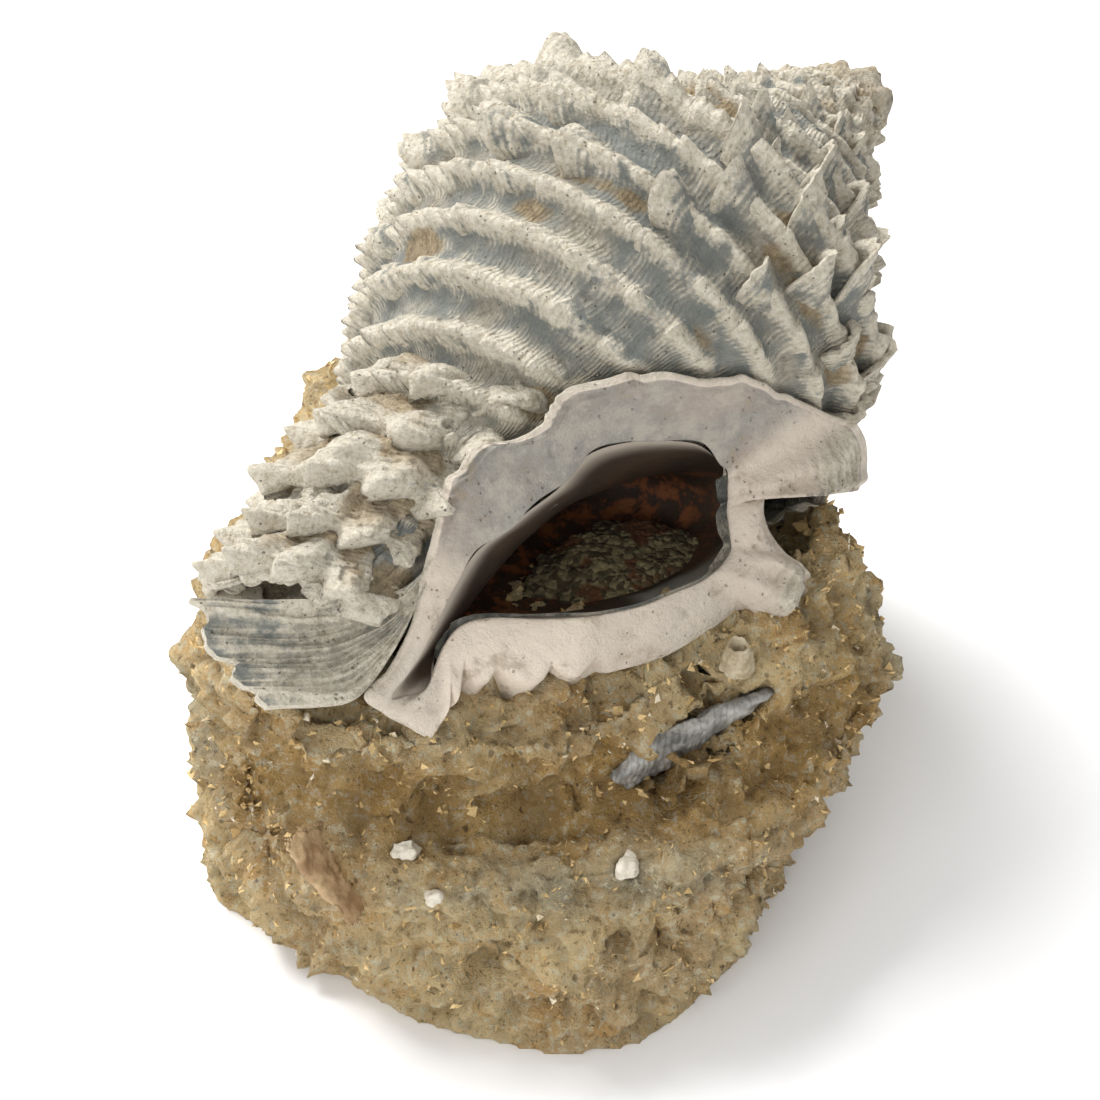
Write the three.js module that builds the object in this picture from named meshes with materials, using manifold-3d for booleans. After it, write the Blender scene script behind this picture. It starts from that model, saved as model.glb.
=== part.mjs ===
// A fossil murex shell lying mouth up on the block of shelly sandstone that it weathered out of.
// Millimetres, +Z up. The origin is the middle of the whole object's footprint, on the ground.

import * as THREE from 'three';
import { mergeVertices } from 'three/addons/utils/BufferGeometryUtils.js';
import { ConvexGeometry } from 'three/addons/geometries/ConvexGeometry.js';
import { LoftGeometry } from 'three/addons/geometries/LoftGeometry.js';
import Module from 'manifold-3d';

const wasm = await Module();
wasm.setup();

// How the shell lies: a point on its axis level with its shoulder, the way its apex points, and the
// way its mouth faces.
const SEAT = new THREE.Vector3( 12, 19, 56 );
const APEX_WAY = new THREE.Vector3( 0.62, 0.76, 0.19 );
const MOUTH_WAY = new THREE.Vector3( 0.29, - 0.45, 0.84 );

// Growth of the shoulder: whorls before the lip, radius, height along the axis.
const GROWTH = [
	[ - 4.5, 4.6, 35.5 ],
	[ - 4, 5.8, 33.5 ],
	[ - 3, 9.6, 26.5 ],
	[ - 2, 15.0, 17.0 ],
	[ - 1.5, 18.4, 11.5 ],
	[ - 1, 22.4, 6.0 ],
	[ - 0.5, 26.8, 1.5 ],
	[ 0, 28.0, 0.5 ],
];
const OLDEST_WHORL = - 4.5;
const STEPS_PER_WHORL = 20;
const OVERLAP = 0.02;           // whorls by which each half turn runs into the one before
const SUTURE_RADIUS = 0.96;     // where a whorl meets the earlier one, as shares of its radius
const SUTURE_DROP = 0.12;
const STUB_RADIUS = 4.2;        // the worn top of the spire
const STUB_SINK = 1.5;

// The side of a whorl below its shoulder, as shares of the shoulder radius: radius, drop.
const SIDE = [
	[ 1.0, 0 ],
	[ 1.02, 0.2 ],
	[ 0.98, 0.4 ],
	[ 0.92, 0.62 ],
	[ 0.82, 0.84 ],
	[ 0.69, 1.05 ],
	[ 0.54, 1.27 ],
	[ 0.44, 1.5 ],
	[ 0.36, 1.8 ],
	[ 0.26, 2.25 ],
];
const LIP_FLARE = 0.2;          // how much wider the side is at the lip than just behind it
const FLARE_REACH = 0.05;       // in whorls
const FLARE_DROP = 1.7;
const CORDS = 8;                // spiral cords on the last whorl
const CORD_PITCH = 0.19;        // drop from cord to cord, as a share of the shoulder radius
const CORD_RISE = 1.3;
const LAST_WHORL_ENDS = [ 1.8, 2.25 ];          // drops below the last cord
const SPIRE_DROPS = [ 0, 0.2, 0.5, 0.9, 1.3 ];
const CORE_RADIUS = 1.2;        // the solid pillar on the axis
const CORE_DEPTH = 60;
const SPINES_PER_WHORL = 14;    // open scales along the shoulder
const SPINED_WHORLS = 2.2;
const SPINE_LENGTH = 0.16;      // as a share of the shoulder radius, as the next two are
const SPINE_RADIUS = 0.1;
const SPINE_LIFT = 0.1;
const SPINE_BLUNTNESS = 0.45;   // tip radius as a share of root radius

// The rim round the mouth, in the shell's own directions: towards the lip, towards the front, along
// the axis to the apex. Each station has its inner edge and its outer edge.
const RIM = [
	[[ 12.5, 2.5, - 50 ], [ 9.7, 2, - 57 ]],
	[[ 10, 4, - 47 ], [ 6.9, 8, - 50 ]],
	[[ 7.5, 8, - 42 ], [ 2.7, 11, - 44 ]],
	[[ 7, 12, - 35 ], [ 0, 14.5, - 35.6 ]],
	[[ 8.5, 15, - 27 ], [ 1.5, 18.5, - 26 ]],
	[[ 12, 16, - 21 ], [ 9, 20, - 16 ]],
	[[ 17.3, 13.5, - 15 ], [ 17, 17, - 6 ]],
	[[ 21, 9, - 12.8 ], [ 24.5, 9, - 1 ]],
	[[ 24.6, 5, - 15 ], [ 27.5, 4, - 11 ]],
	[[ 26.8, 4, - 19 ], [ 31.5, 2.5, - 17 ]],
	[[ 26, 4, - 25 ], [ 30.5, 1.5, - 26 ]],
	[[ 24, 3.5, - 32 ], [ 28.5, 0.5, - 34 ]],
	[[ 20.5, 3, - 39 ], [ 26, - 0.5, - 42 ]],
	[[ 16.5, 2.5, - 45 ], [ 22, - 0.5, - 50 ]],
	[[ 14, 2.3, - 48.5 ], [ 16, 0, - 56 ]],
];
const RIM_SECTIONS = 36;
const RIM_THICKNESS = 2.2;
const RIM_SWELL = 0.6;

// Blunt spines on the rim: root, tip, root radius.
const RIM_SPINES = [
	[[ 25, 7.5, - 2.5 ], [ 32, 5.5, 2.5 ], 3.4 ],
	[[ 30, 2.5, - 16.5 ], [ 37, 2.5, - 15.5 ], 3.4 ],
	[[ 26.5, 0, - 41 ], [ 29, - 3, - 41.5 ], 2 ],
	[[ 24.5, 0, - 45.5 ], [ 27, - 3, - 46.5 ], 2 ],
	[[ 22, 0, - 50 ], [ 24.5, - 3, - 51.5 ], 2 ],
	[[ 17, 0.2, - 55.5 ], [ 18.5, - 2.5, - 59.5 ], 2.4 ],
];
const RIM_SPINE_BLUNTNESS = 0.6;

// The siphonal canal is an open gutter; its two long edges run from the pillar out to the end.
const CANAL_UPPER = [[ 4, 9.5, - 46 ], [ - 3, 6.5, - 53 ], [ - 11.3, 3.5, - 61.5 ]];
const CANAL_LOWER = [[ 10.5, 1.5, - 55.5 ], [ 5.5, 0.5, - 60 ], [ 1.7, 0, - 63.5 ]];
const CANAL_DIP = 2.6;
const CANAL_THICKNESS = 2;
const CANAL_SECTIONS = 7;

// Ends of older canals, left as a stack of flared collars on the left of the neck: centre, neck
// radius, flared radius.
const COLLARS = [
	[[ - 7, 3, - 33 ], 8.5, 11.5 ],
	[[ - 7.5, 3, - 41 ], 8, 11 ],
	[[ - 7, 2.5, - 49 ], 7, 10 ],
	[[ - 5.5, 2, - 56 ], 5.5, 8.5 ],
];
const COLLAR_LENGTH = 9;
const COLLAR_TILT = 10;         // degrees

// The hollow behind the mouth in one plane through the axis: radius, height along the axis.
const HOLLOW = [
	[ 9.5, - 46 ],
	[ 8.6, - 40 ],
	[ 8.2, - 33 ],
	[ 9, - 26 ],
	[ 12, - 18 ],
	[ 16.5, - 11 ],
	[ 21, - 7.5 ],
	[ 24.6, - 10 ],
	[ 24.9, - 16 ],
	[ 23.2, - 22.5 ],
	[ 20, - 29 ],
	[ 16, - 35.5 ],
	[ 12.5, - 41.5 ],
];
const HOLLOW_MIDDLE = [ 17, - 26 ];
const HOLLOW_TURN = 0.36;       // how far it runs back round the axis, in whorls
const HOLLOW_START = 0.02;
const HOLLOW_TAPER = 0.55;
const HOLLOW_SECTIONS = 8;
const HOLLOW_POINTS = 22;
const MOUTH_MIDDLE = [ 17, 7, - 30 ];
const MOUTH_LEAD = [ 4, 9, 0 ]; // how far the cut reaches out of the mouth, towards lip and front

// The grit in the mouth is the part of this heap that lies in the hollow, a little clear of it.
const HEAP_RADII = [ 12, 9, 13.5 ];
const HEAP_PLACE = [ 21, - 12.5, - 25 ];
const HEAP_CLEARANCE = 0.9;

const GAP = 0.35;               // between the rock and what is bedded in it

// The rock's corners, anticlockwise from the front. Each has a foot on the ground, the flank above
// it, the outer edge of the ledge, the inner edge of the ledge, and the brow with its own height.
const FLANK_HEIGHT = 13;
const LEDGE_HEIGHT = 23;
const NOOK_HEIGHT = 24.5;
const ROCK_CORNERS = [
	[ [ 0, - 41.5 ], [ 0, - 41 ], [ 0, - 36 ], [ 0, - 27.5 ], [ - 1, - 28, 34 ] ],
	[ [ 10, - 40 ], [ 12, - 39.5 ], [ 12, - 35 ], [ 12, - 26 ], [ 9, - 23, 36.5 ] ],
	[ [ 21, - 28.5 ], [ 24, - 30 ], [ 23, - 31 ], [ 21, - 25 ], [ 19, - 18, 38 ] ],
	[ [ 25, - 14 ], [ 33, - 14 ], [ 35, - 14 ], [ 34, - 13 ], [ 28, - 10, 38.5 ] ],
	[ [ 28, - 3 ], [ 35, - 2 ], [ 38, - 3 ], [ 39, - 3 ], [ 35, 0, 36.5 ] ],
	[ [ 27, 12 ], [ 32, 14 ], [ 34, 14 ], [ 33, 14 ], [ 27, 12, 39 ] ],
	[ [ 24, 30 ], [ 28, 34 ], [ 30, 36 ], [ 29, 36 ], [ 24, 32, 41 ] ],
	[ [ 6, 42 ], [ 8, 47 ], [ 10, 48 ], [ 9, 47 ], [ 8, 40, 42 ] ],
	[ [ - 16, 36 ], [ - 18, 40 ], [ - 18, 40 ], [ - 17, 39 ], [ - 14, 32, 44 ] ],
	[ [ - 30, 18 ], [ - 32, 20 ], [ - 31, 20 ], [ - 30, 20 ], [ - 22, 20, 48 ] ],
	[ [ - 38, - 4 ], [ - 38, - 2 ], [ - 37, 0 ], [ - 36, 0 ], [ - 29, 2, 43 ] ],
	[ [ - 38, - 20 ], [ - 39, - 18 ], [ - 39, - 15 ], [ - 39, - 14 ], [ - 37, - 11, 40 ] ],
	[ [ - 27.5, - 27 ], [ - 31, - 28 ], [ - 34, - 28 ], [ - 34, - 27 ], [ - 30, - 27, 40 ] ],
	[ [ - 15, - 37 ], [ - 17, - 37 ], [ - 18, - 34 ], [ - 18, - 28.5 ], [ - 14, - 30, 36 ] ],
];
const ROCK_TENSION = 0.25;      // 0 gives straight sides from corner to corner
const ROCK_TOP_SHARES = [ 0.3, 0.6, 0.95 ];     // rings from the brow in to the middle
const ROCK_MIDDLE = new THREE.Vector3( 0, 4, 46 );
const ROCK_COLUMNS = 48;
const ROCK_ROUGHNESS = 0.9;     // how far the faces stand in or out

// Thin pieces of broken shell bedded in the rock: corners, thickness, colour.
const FLAKES = {
	nacre_shard: {
		corners: [
			[ 6.5, - 27, 27.6 ], [ 10, - 25.5, 31.5 ], [ 22.8, - 19.5, 33 ],
			[ 23.5, - 17, 31 ], [ 15, - 21, 26 ], [ 8, - 25, 24.5 ],
		],
		thickness: 1.3,
		colour: 0xa9adaf,
	},
	tan_shell_edge: {
		corners: [
			[ - 27, - 34, 26.5 ], [ - 24.5, - 35.5, 22 ], [ - 20, - 38, 17 ],
			[ - 19, - 34, 17 ], [ - 24, - 30, 24 ],
		],
		thickness: 1.1,
		colour: 0xb69a72,
	},
	white_chip_1: {
		corners: [
			[ - 16, - 34.5, 25.6 ], [ - 13.8, - 34.2, 25.8 ], [ - 13.6, - 32, 22 ], [ - 16.2, - 32, 22 ],
		],
		thickness: 1.4,
		colour: 0xe6e1d4,
	},
	white_chip_2: {
		corners: [ [ 7, - 37.2, 24.6 ], [ 8.6, - 37, 24.8 ], [ 8.8, - 33, 21.5 ], [ 7, - 33, 21.5 ] ],
		thickness: 1.2,
		colour: 0xe8e4da,
	},
	white_chip_3: {
		corners: [
			[ - 12.4, - 38.8, 22.2 ], [ - 11.2, - 38.8, 22.6 ], [ - 11, - 35, 19.5 ], [ - 12.4, - 35, 19.5 ],
		],
		thickness: 1,
		colour: 0xdedad0,
	},
};

// A small upright cone of an acorn barnacle against the lip.
const BARNACLE_FOOT = new THREE.Vector3( 19.5, - 18.5, 37.2 );
const BARNACLE_HEIGHT = 4.4;
const BARNACLE_ROOT = 1.6;      // how much of its height is sunk in the rock
const BARNACLE_RADIUS = 1.9;
const BARNACLE_MOUTH = 0.5;

// ---------------------------------------------------------------------------------------------
// Solids and placing

function vector( [ x, y, z ] ) {

	return new THREE.Vector3( x, y, z );

}

// A closed geometry as a solid with its faces pointing out, moved by a matrix if one is given.
function solid( geometry, matrix = new THREE.Matrix4() ) {

	geometry.applyMatrix4( matrix );
	geometry.deleteAttribute( 'normal' );
	geometry.deleteAttribute( 'uv' );
	const merged = mergeVertices( new THREE.BufferGeometry().copy( geometry ), 1e-4 );
	const vertProperties = new Float32Array( merged.attributes.position.array );
	const triVerts = new Uint32Array( merged.index.array );
	const made = new wasm.Manifold( new wasm.Mesh( { numProp: 3, vertProperties, triVerts } ) );
	if ( made.volume() > 0 ) return made;
	for ( let i = 0; i < triVerts.length; i += 3 ) {

		[ triVerts[ i ], triVerts[ i + 1 ] ] = [ triVerts[ i + 1 ], triVerts[ i ] ];

	}

	return new wasm.Manifold( new wasm.Mesh( { numProp: 3, vertProperties, triVerts } ) );

}

function joined( solids ) {

	return solids.reduce( ( whole, piece ) => whole.add( piece ) );

}

// The largest closed skin of a solid, which leaves out loose crumbs and fills sealed pockets.
function outerBody( manifold ) {

	return manifold.decompose().sort( ( a, b ) => b.volume() - a.volume() )[ 0 ];

}

function named( name, manifold, colour, roughness ) {

	const { vertProperties, triVerts } = manifold.getMesh();
	const geometry = new THREE.BufferGeometry();
	geometry.setAttribute( 'position', new THREE.Float32BufferAttribute( vertProperties, 3 ) );
	geometry.setIndex( Array.from( triVerts ) );
	geometry.computeVertexNormals();
	const material = new THREE.MeshStandardMaterial( { color: colour, roughness, metalness: 0 } );
	const mesh = new THREE.Mesh( geometry, material );
	mesh.name = name;
	return mesh;

}

function middleOf( points ) {

	const sum = points.reduce( ( total, point ) => total.add( point ), new THREE.Vector3() );
	return sum.divideScalar( points.length );

}

// A skin over rings of points with both ends capped. Rings that run the wrong way for the direction
// of the loft are turned round, so that the wall and the caps agree.
function loft( sections ) {

	const start = middleOf( sections[ 0 ] );
	const ahead = middleOf( sections[ 1 ] ).sub( start );
	const facing = new THREE.Vector3();
	sections[ 0 ].forEach( ( point, i, ring ) => {

		const next = ring[ ( i + 1 ) % ring.length ].clone().sub( start );
		facing.add( point.clone().sub( start ).cross( next ) );

	} );
	const turned = sections.map( ( ring ) => [ ...ring ].reverse() );
	const rings = facing.dot( ahead ) > 0 ? sections : turned;
	return new LoftGeometry( rings, { capStart: true, capEnd: true } );

}

// A smooth value from a short table whose first column rises.
function follow( table, x, column ) {

	const last = table.length - 1;
	let i = 0;
	while ( i < last - 1 && x > table[ i + 1 ][ 0 ] ) i ++;
	const span = table[ i + 1 ][ 0 ] - table[ i ][ 0 ];
	const share = THREE.MathUtils.clamp( ( x - table[ i ][ 0 ] ) / span, 0, 1 );
	const slope = ( j ) => {

		const before = table[ Math.max( j - 1, 0 ) ];
		const after = table[ Math.min( j + 1, last ) ];
		return ( after[ column ] - before[ column ] ) / ( after[ 0 ] - before[ 0 ] );

	};

	const start = table[ i ][ column ];
	const end = table[ i + 1 ][ column ];
	const bend = share * share * ( 3 - 2 * share );
	const leave = share * ( 1 - share ) * ( 1 - share ) * span * slope( i );
	const arrive = share * share * ( share - 1 ) * span * slope( i + 1 );
	return start + ( end - start ) * bend + leave + arrive;

}

const sideByDrop = SIDE.map( ( [ radius, drop ] ) => [ drop, radius ] );

// ---------------------------------------------------------------------------------------------
// The shell, in its own directions: x towards the lip, y to the back, z along the axis to the apex

const apexWay = APEX_WAY.clone().normalize();
const mouthWay = MOUTH_WAY.clone().addScaledVector( apexWay, - MOUTH_WAY.dot( apexWay ) ).normalize();
const lipWay = new THREE.Vector3().crossVectors( apexWay, mouthWay );
const shellPlace = new THREE.Matrix4()
	.makeBasis( lipWay, mouthWay.clone().negate(), apexWay )
	.setPosition( SEAT );

// A point given towards the lip, towards the front and along the axis.
function inShell( [ lip, front, axial ] ) {

	return new THREE.Vector3( lip, - front, axial );

}

// A point at a radius and height on the plane that the shell had grown to at a whorl.
function onWhorl( whorl, radius, axial ) {

	const angle = whorl * 2 * Math.PI;
	return new THREE.Vector3( radius * Math.cos( angle ), - radius * Math.sin( angle ), axial );

}

function shoulder( whorl ) {

	return { radius: follow( GROWTH, whorl, 1 ), height: follow( GROWTH, whorl, 2 ) };

}

// One whorl's outline from the suture down to the canal, filled in to the axis. The spare is added
// to every radius, to make the slightly larger shape that the rock is cut with.
function whorlSection( whorl, drops, rise, spare ) {

	const { radius, height } = shoulder( whorl );
	const earlier = shoulder( Math.max( whorl - 1, OLDEST_WHORL ) );
	const suture = earlier.height - SUTURE_DROP * earlier.radius;
	const flare = LIP_FLARE * Math.exp( whorl / FLARE_REACH );
	const sutureRadius = SUTURE_RADIUS * earlier.radius + spare;
	const points = [ [ CORE_RADIUS / 2, suture ], [ sutureRadius, suture ] ];
	drops.forEach( ( drop, i ) => {

		const cord = i % 2 === 0 && drop > 0 ? rise : 0;
		const wider = 1 + flare * Math.sin( Math.PI * Math.min( drop / FLARE_DROP, 1 ) );
		const side = radius * follow( sideByDrop, drop, 1 ) * wider;
		points.push( [ side + cord + spare, height - drop * radius ] );

	} );
	points.push( [ CORE_RADIUS / 2, points.at( - 1 )[ 1 ] ] );
	return points.map( ( [ r, axial ] ) => onWhorl( whorl, r, axial ) );

}

function whorls( from, to, drops, rise, spare ) {

	const steps = Math.ceil( ( to - from ) * STEPS_PER_WHORL );
	const sections = [];
	for ( let i = 0; i <= steps; i ++ ) {

		sections.push( whorlSection( from + ( to - from ) * i / steps, drops, rise, spare ) );

	}

	return solid( loft( sections ) );

}

// Half a turn at a time, each overlapping the one before by a sliver, so that none meets itself.
function coil( spare ) {

	const cordDrops = [];
	for ( let i = 0; i <= 2 * CORDS; i ++ ) cordDrops.push( i * CORD_PITCH / 2 );
	cordDrops.push( ...LAST_WHORL_ENDS );
	const turns = [];
	for ( let whorl = OLDEST_WHORL; whorl < 0; whorl += 0.5 ) {

		const last = whorl >= - 1;
		const from = Math.max( whorl - OVERLAP, OLDEST_WHORL );
		const drops = last ? cordDrops : SPIRE_DROPS;
		turns.push( whorls( from, whorl + 0.5, drops, last ? CORD_RISE : 0, spare ) );

	}

	const top = shoulder( OLDEST_WHORL );
	const core = new THREE.CylinderGeometry( CORE_RADIUS, CORE_RADIUS, top.height + CORE_DEPTH, 6 );
	core.rotateX( Math.PI / 2 ).translate( 0, 0, ( top.height - CORE_DEPTH ) / 2 );
	const worn = new THREE.IcosahedronGeometry( STUB_RADIUS + spare, 1 );
	worn.translate( 0, 0, top.height - STUB_SINK );
	return joined( [ ...turns, solid( core ), solid( worn ) ] );

}

// A pointed or blunt spine from a root to a tip.
function spine( root, tip, radius, bluntness ) {

	const along = new THREE.Vector3().subVectors( tip, root );
	const length = along.length();
	const shape = new THREE.CylinderGeometry( radius * bluntness, radius, length, 5 );
	const up = new THREE.Vector3( 0, 1, 0 );
	const turn = new THREE.Quaternion().setFromUnitVectors( up, along.normalize() );
	const middle = new THREE.Vector3().addVectors( root, tip ).multiplyScalar( 0.5 );
	return solid( shape, new THREE.Matrix4().compose( middle, turn, new THREE.Vector3( 1, 1, 1 ) ) );

}

function shoulderSpines( spare ) {

	const spines = [];
	for ( let i = 1; i < SPINES_PER_WHORL * SPINED_WHORLS; i ++ ) {

		const whorl = - i / SPINES_PER_WHORL;
		const { radius, height } = shoulder( whorl );
		const root = onWhorl( whorl, radius * 0.9, height - 0.02 * radius );
		const tipRadius = radius * ( 1 + SPINE_LENGTH );
		const tip = onWhorl( whorl + 0.02, tipRadius, height + SPINE_LIFT * radius );
		spines.push( spine( root, tip, SPINE_RADIUS * radius + spare, SPINE_BLUNTNESS ) );

	}

	return spines;

}

function rimEdge( side ) {

	return new THREE.CatmullRomCurve3( RIM.map( ( pair ) => inShell( pair[ side ] ) ), true );

}

// The flat-faced ring round the mouth, one closed band from its inner edge to its outer edge.
function rim( spare ) {

	const inner = rimEdge( 0 );
	const outer = rimEdge( 1 );
	const sections = [];
	for ( let i = 0; i <= RIM_SECTIONS; i ++ ) {

		const share = ( i % RIM_SECTIONS ) / RIM_SECTIONS;
		const from = inner.getPoint( share );
		const to = outer.getPoint( share );
		const across = new THREE.Vector3().subVectors( to, from ).normalize();
		const along = inner.getTangent( share );
		const front = new THREE.Vector3().crossVectors( along, across ).normalize();
		if ( front.y > 0 ) front.negate();
		const edgePoint = ( point, out, ahead ) => {

			return point.clone().addScaledVector( across, out ).addScaledVector( front, ahead );

		};

		sections.push( [
			edgePoint( from, - spare, spare ),
			edgePoint( from.clone().lerp( to, 0.5 ), 0, RIM_SWELL + spare ),
			edgePoint( to, spare, spare ),
			edgePoint( to, spare, - RIM_THICKNESS - spare ),
			edgePoint( from, - spare, - RIM_THICKNESS - spare ),
		] );

	}

	return solid( new LoftGeometry( sections ) );

}

function canal( spare ) {

	const upper = new THREE.CatmullRomCurve3( CANAL_UPPER.map( inShell ) );
	const lower = new THREE.CatmullRomCurve3( CANAL_LOWER.map( inShell ) );
	const sections = [];
	for ( let i = 0; i <= CANAL_SECTIONS; i ++ ) {

		const from = upper.getPoint( i / CANAL_SECTIONS );
		const to = lower.getPoint( i / CANAL_SECTIONS );
		const face = [];
		const back = [];
		for ( const share of [ 0, 0.25, 0.5, 0.75, 1 ] ) {

			const point = from.clone().lerp( to, share );
			point.y += CANAL_DIP * Math.sin( Math.PI * share );
			face.push( point.clone().setY( point.y - spare ) );
			back.unshift( point.clone().setY( point.y + CANAL_THICKNESS + spare ) );

		}

		sections.push( [ ...face, ...back ] );

	}

	return solid( loft( sections ) );

}

function collars( spare ) {

	return COLLARS.map( ( [ centre, neck, flared ] ) => {

		const length = COLLAR_LENGTH + 2 * spare;
		const shape = new THREE.CylinderGeometry( neck + spare, flared + spare, length, 12 );
		shape.rotateX( Math.PI / 2 ).rotateY( THREE.MathUtils.degToRad( COLLAR_TILT ) );
		const { x, y, z } = inShell( centre );
		return solid( shape.translate( x, y, z ) );

	} );

}

// The hollow that the animal lived in, from in front of the mouth back round the axis.
function hollow( shrink ) {

	const mouth = rimEdge( 0 );
	const outline = HOLLOW.map( ( [ r, axial ] ) => new THREE.Vector3( r, axial, 0 ) );
	const inside = new THREE.CatmullRomCurve3( outline, true );
	const middle = new THREE.Vector3( ...HOLLOW_MIDDLE, 0 );
	const lead = inShell( MOUTH_LEAD );
	const ring = [];
	for ( let i = 0; i < HOLLOW_POINTS; i ++ ) ring.push( i / HOLLOW_POINTS );
	const sections = [ 1, 0 ].map( ( ahead ) => ring.map( ( share ) => {

		const point = mouth.getPoint( share ).lerp( inShell( MOUTH_MIDDLE ), shrink / 12 );
		return point.addScaledVector( lead, ahead );

	} ) );
	for ( let i = 1; i <= HOLLOW_SECTIONS; i ++ ) {

		const whorl = - HOLLOW_START - HOLLOW_TURN * ( i - 1 ) / ( HOLLOW_SECTIONS - 1 );
		const size = shoulder( whorl ).radius / shoulder( 0 ).radius;
		const taper = 1 - shrink / 10 - HOLLOW_TAPER * ( whorl / HOLLOW_TURN ) ** 2;
		sections.push( ring.map( ( share ) => {

			const point = inside.getPoint( share ).sub( middle ).multiplyScalar( taper ).add( middle );
			return onWhorl( whorl, point.x * size, point.y );

		} ) );

	}

	return solid( loft( sections ) );

}

function wholeShell( spare ) {

	const knobs = RIM_SPINES.map( ( [ root, tip, radius ] ) => {

		return spine( inShell( root ), inShell( tip ), radius + spare, RIM_SPINE_BLUNTNESS );

	} );
	const tube = [ coil( spare ), ...shoulderSpines( spare ), ...collars( spare ), canal( spare ) ];
	return joined( [ ...tube, rim( spare ), ...knobs ] );

}

function murexShell() {

	return outerBody( wholeShell( 0 ).subtract( hollow( 0 ) ) );

}

// ---------------------------------------------------------------------------------------------
// The rock and the things bedded in it

// Small steady bumps, the same at every build.
function bump( x, y, z ) {

	const across = Math.sin( x * 0.9 + 1.3 * Math.sin( y * 0.45 ) );
	return across * Math.sin( y * 0.8 + z * 0.5 ) + 0.6 * Math.sin( z * 1.1 + x * 0.4 );

}

function rockSolid() {

	const heights = [ 0, FLANK_HEIGHT, LEDGE_HEIGHT, NOOK_HEIGHT ];
	const levels = [ 0, 1, 2, 3, 4 ].map( ( level ) => {

		const corners = ROCK_CORNERS.map( ( corner ) => {

			const [ x, y, ownHeight ] = corner[ level ];
			return new THREE.Vector3( x, y, ownHeight ?? heights[ level ] );

		} );
		return new THREE.CatmullRomCurve3( corners, true, 'catmullrom', ROCK_TENSION );

	} );
	const rows = [];
	for ( let i = 0; i < levels.length; i ++ ) {

		rows.push( { low: levels[ i ], high: levels[ i ], share: 0 } );
		const halfway = i < levels.length - 1 && i !== 2;
		if ( halfway ) rows.push( { low: levels[ i ], high: levels[ i + 1 ], share: 0.5 } );

	}

	const sections = rows.map( ( { low, high, share }, row ) => {

		const points = [];
		for ( let i = 0; i < ROCK_COLUMNS; i ++ ) {

			const point = low.getPoint( i / ROCK_COLUMNS ).lerp( high.getPoint( i / ROCK_COLUMNS ), share );
			const out = ROCK_ROUGHNESS * bump( point.x, point.y, point.z ) / Math.hypot( point.x, point.y );
			if ( row > 0 ) point.set( point.x * ( 1 + out ), point.y * ( 1 + out ), point.z );
			points.push( point );

		}

		return points;

	} );
	for ( const share of ROCK_TOP_SHARES ) {

		sections.push( sections[ rows.length - 1 ].map( ( point ) => {

			const inner = point.clone().lerp( ROCK_MIDDLE, share );
			inner.z += ROCK_ROUGHNESS * bump( inner.x, inner.y, 0 );
			return inner;

		} ) );

	}

	return solid( loft( sections ) );

}

// A thin broken piece of shell: corner points of its outline, then a thickness.
function flake( corners, thickness, spare ) {

	const points = [];
	const [ a, b, c ] = corners.map( vector );
	const across = b.sub( a ).cross( c.sub( a ) ).normalize();
	const middle = middleOf( corners.map( vector ) );
	for ( const corner of corners ) {

		const point = vector( corner );
		const out = new THREE.Vector3().subVectors( point, middle ).normalize();
		point.addScaledVector( out, spare );
		points.push( point.clone().addScaledVector( across, thickness / 2 + spare ) );
		points.push( point.clone().addScaledVector( across, - thickness / 2 - spare ) );

	}

	return solid( new ConvexGeometry( points ) );

}

function barnacle( spare ) {

	const profile = [
		[ 0, - BARNACLE_ROOT - spare ],
		[ BARNACLE_RADIUS * 0.8 + spare, - BARNACLE_ROOT - spare ],
		[ BARNACLE_RADIUS + spare, 0 ],
		[ BARNACLE_RADIUS * 0.62 + spare, BARNACLE_HEIGHT - BARNACLE_ROOT ],
		[ BARNACLE_MOUTH, BARNACLE_HEIGHT - BARNACLE_ROOT - 0.2 ],
		[ 0, BARNACLE_HEIGHT - BARNACLE_ROOT - 1 ],
	].map( ( [ r, h ] ) => new THREE.Vector2( r, h ) );
	const shape = new THREE.LatheGeometry( profile, 12 ).rotateX( Math.PI / 2 );
	return solid( shape, new THREE.Matrix4().setPosition( BARNACLE_FOOT ) );

}

// Loose sand and shell grit washed into the back of the hollow, heaped towards the lip.
function apertureSediment() {

	const heap = new THREE.IcosahedronGeometry( 1, 2 ).scale( ...HEAP_RADII );
	const { x, y, z } = inShell( HEAP_PLACE );
	heap.translate( x, y, z );
	return outerBody( solid( heap ).intersect( hollow( HEAP_CLEARANCE ) ) );

}

// ---------------------------------------------------------------------------------------------
// Putting it together

const shellSolid = murexShell();
const shell = named( 'murex_shell', shellSolid, 0xcfcac2, 0.75 );
const sediment = named( 'aperture_sediment', apertureSediment(), 0x8d8363, 0.95 );
const laidShell = new THREE.Group();
laidShell.applyMatrix4( shellPlace );
laidShell.add( shell, sediment );

const pocket = wholeShell( GAP ).add( hollow( 0 ) ).transform( shellPlace.elements );
let rock = rockSolid().subtract( pocket );
const bedded = new THREE.Group();
for ( const [ name, { corners, thickness, colour } ] of Object.entries( FLAKES ) ) {

	rock = rock.subtract( flake( corners, thickness, GAP ) );
	bedded.add( named( name, flake( corners, thickness, 0 ), colour, 0.5 ) );

}

rock = rock.subtract( barnacle( GAP ) );
bedded.add( named( 'barnacle', barnacle( 0 ), 0xd4cbb8, 0.8 ) );
bedded.add( named( 'matrix_block', outerBody( rock ), 0xb39b73, 0.95 ) );

const model = new THREE.Group();
model.add( laidShell, bedded );
const extent = new THREE.Box3().setFromObject( model, true );
const footprint = extent.getCenter( new THREE.Vector3() );
model.position.set( - footprint.x, - footprint.y, - extent.min.z );

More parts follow.
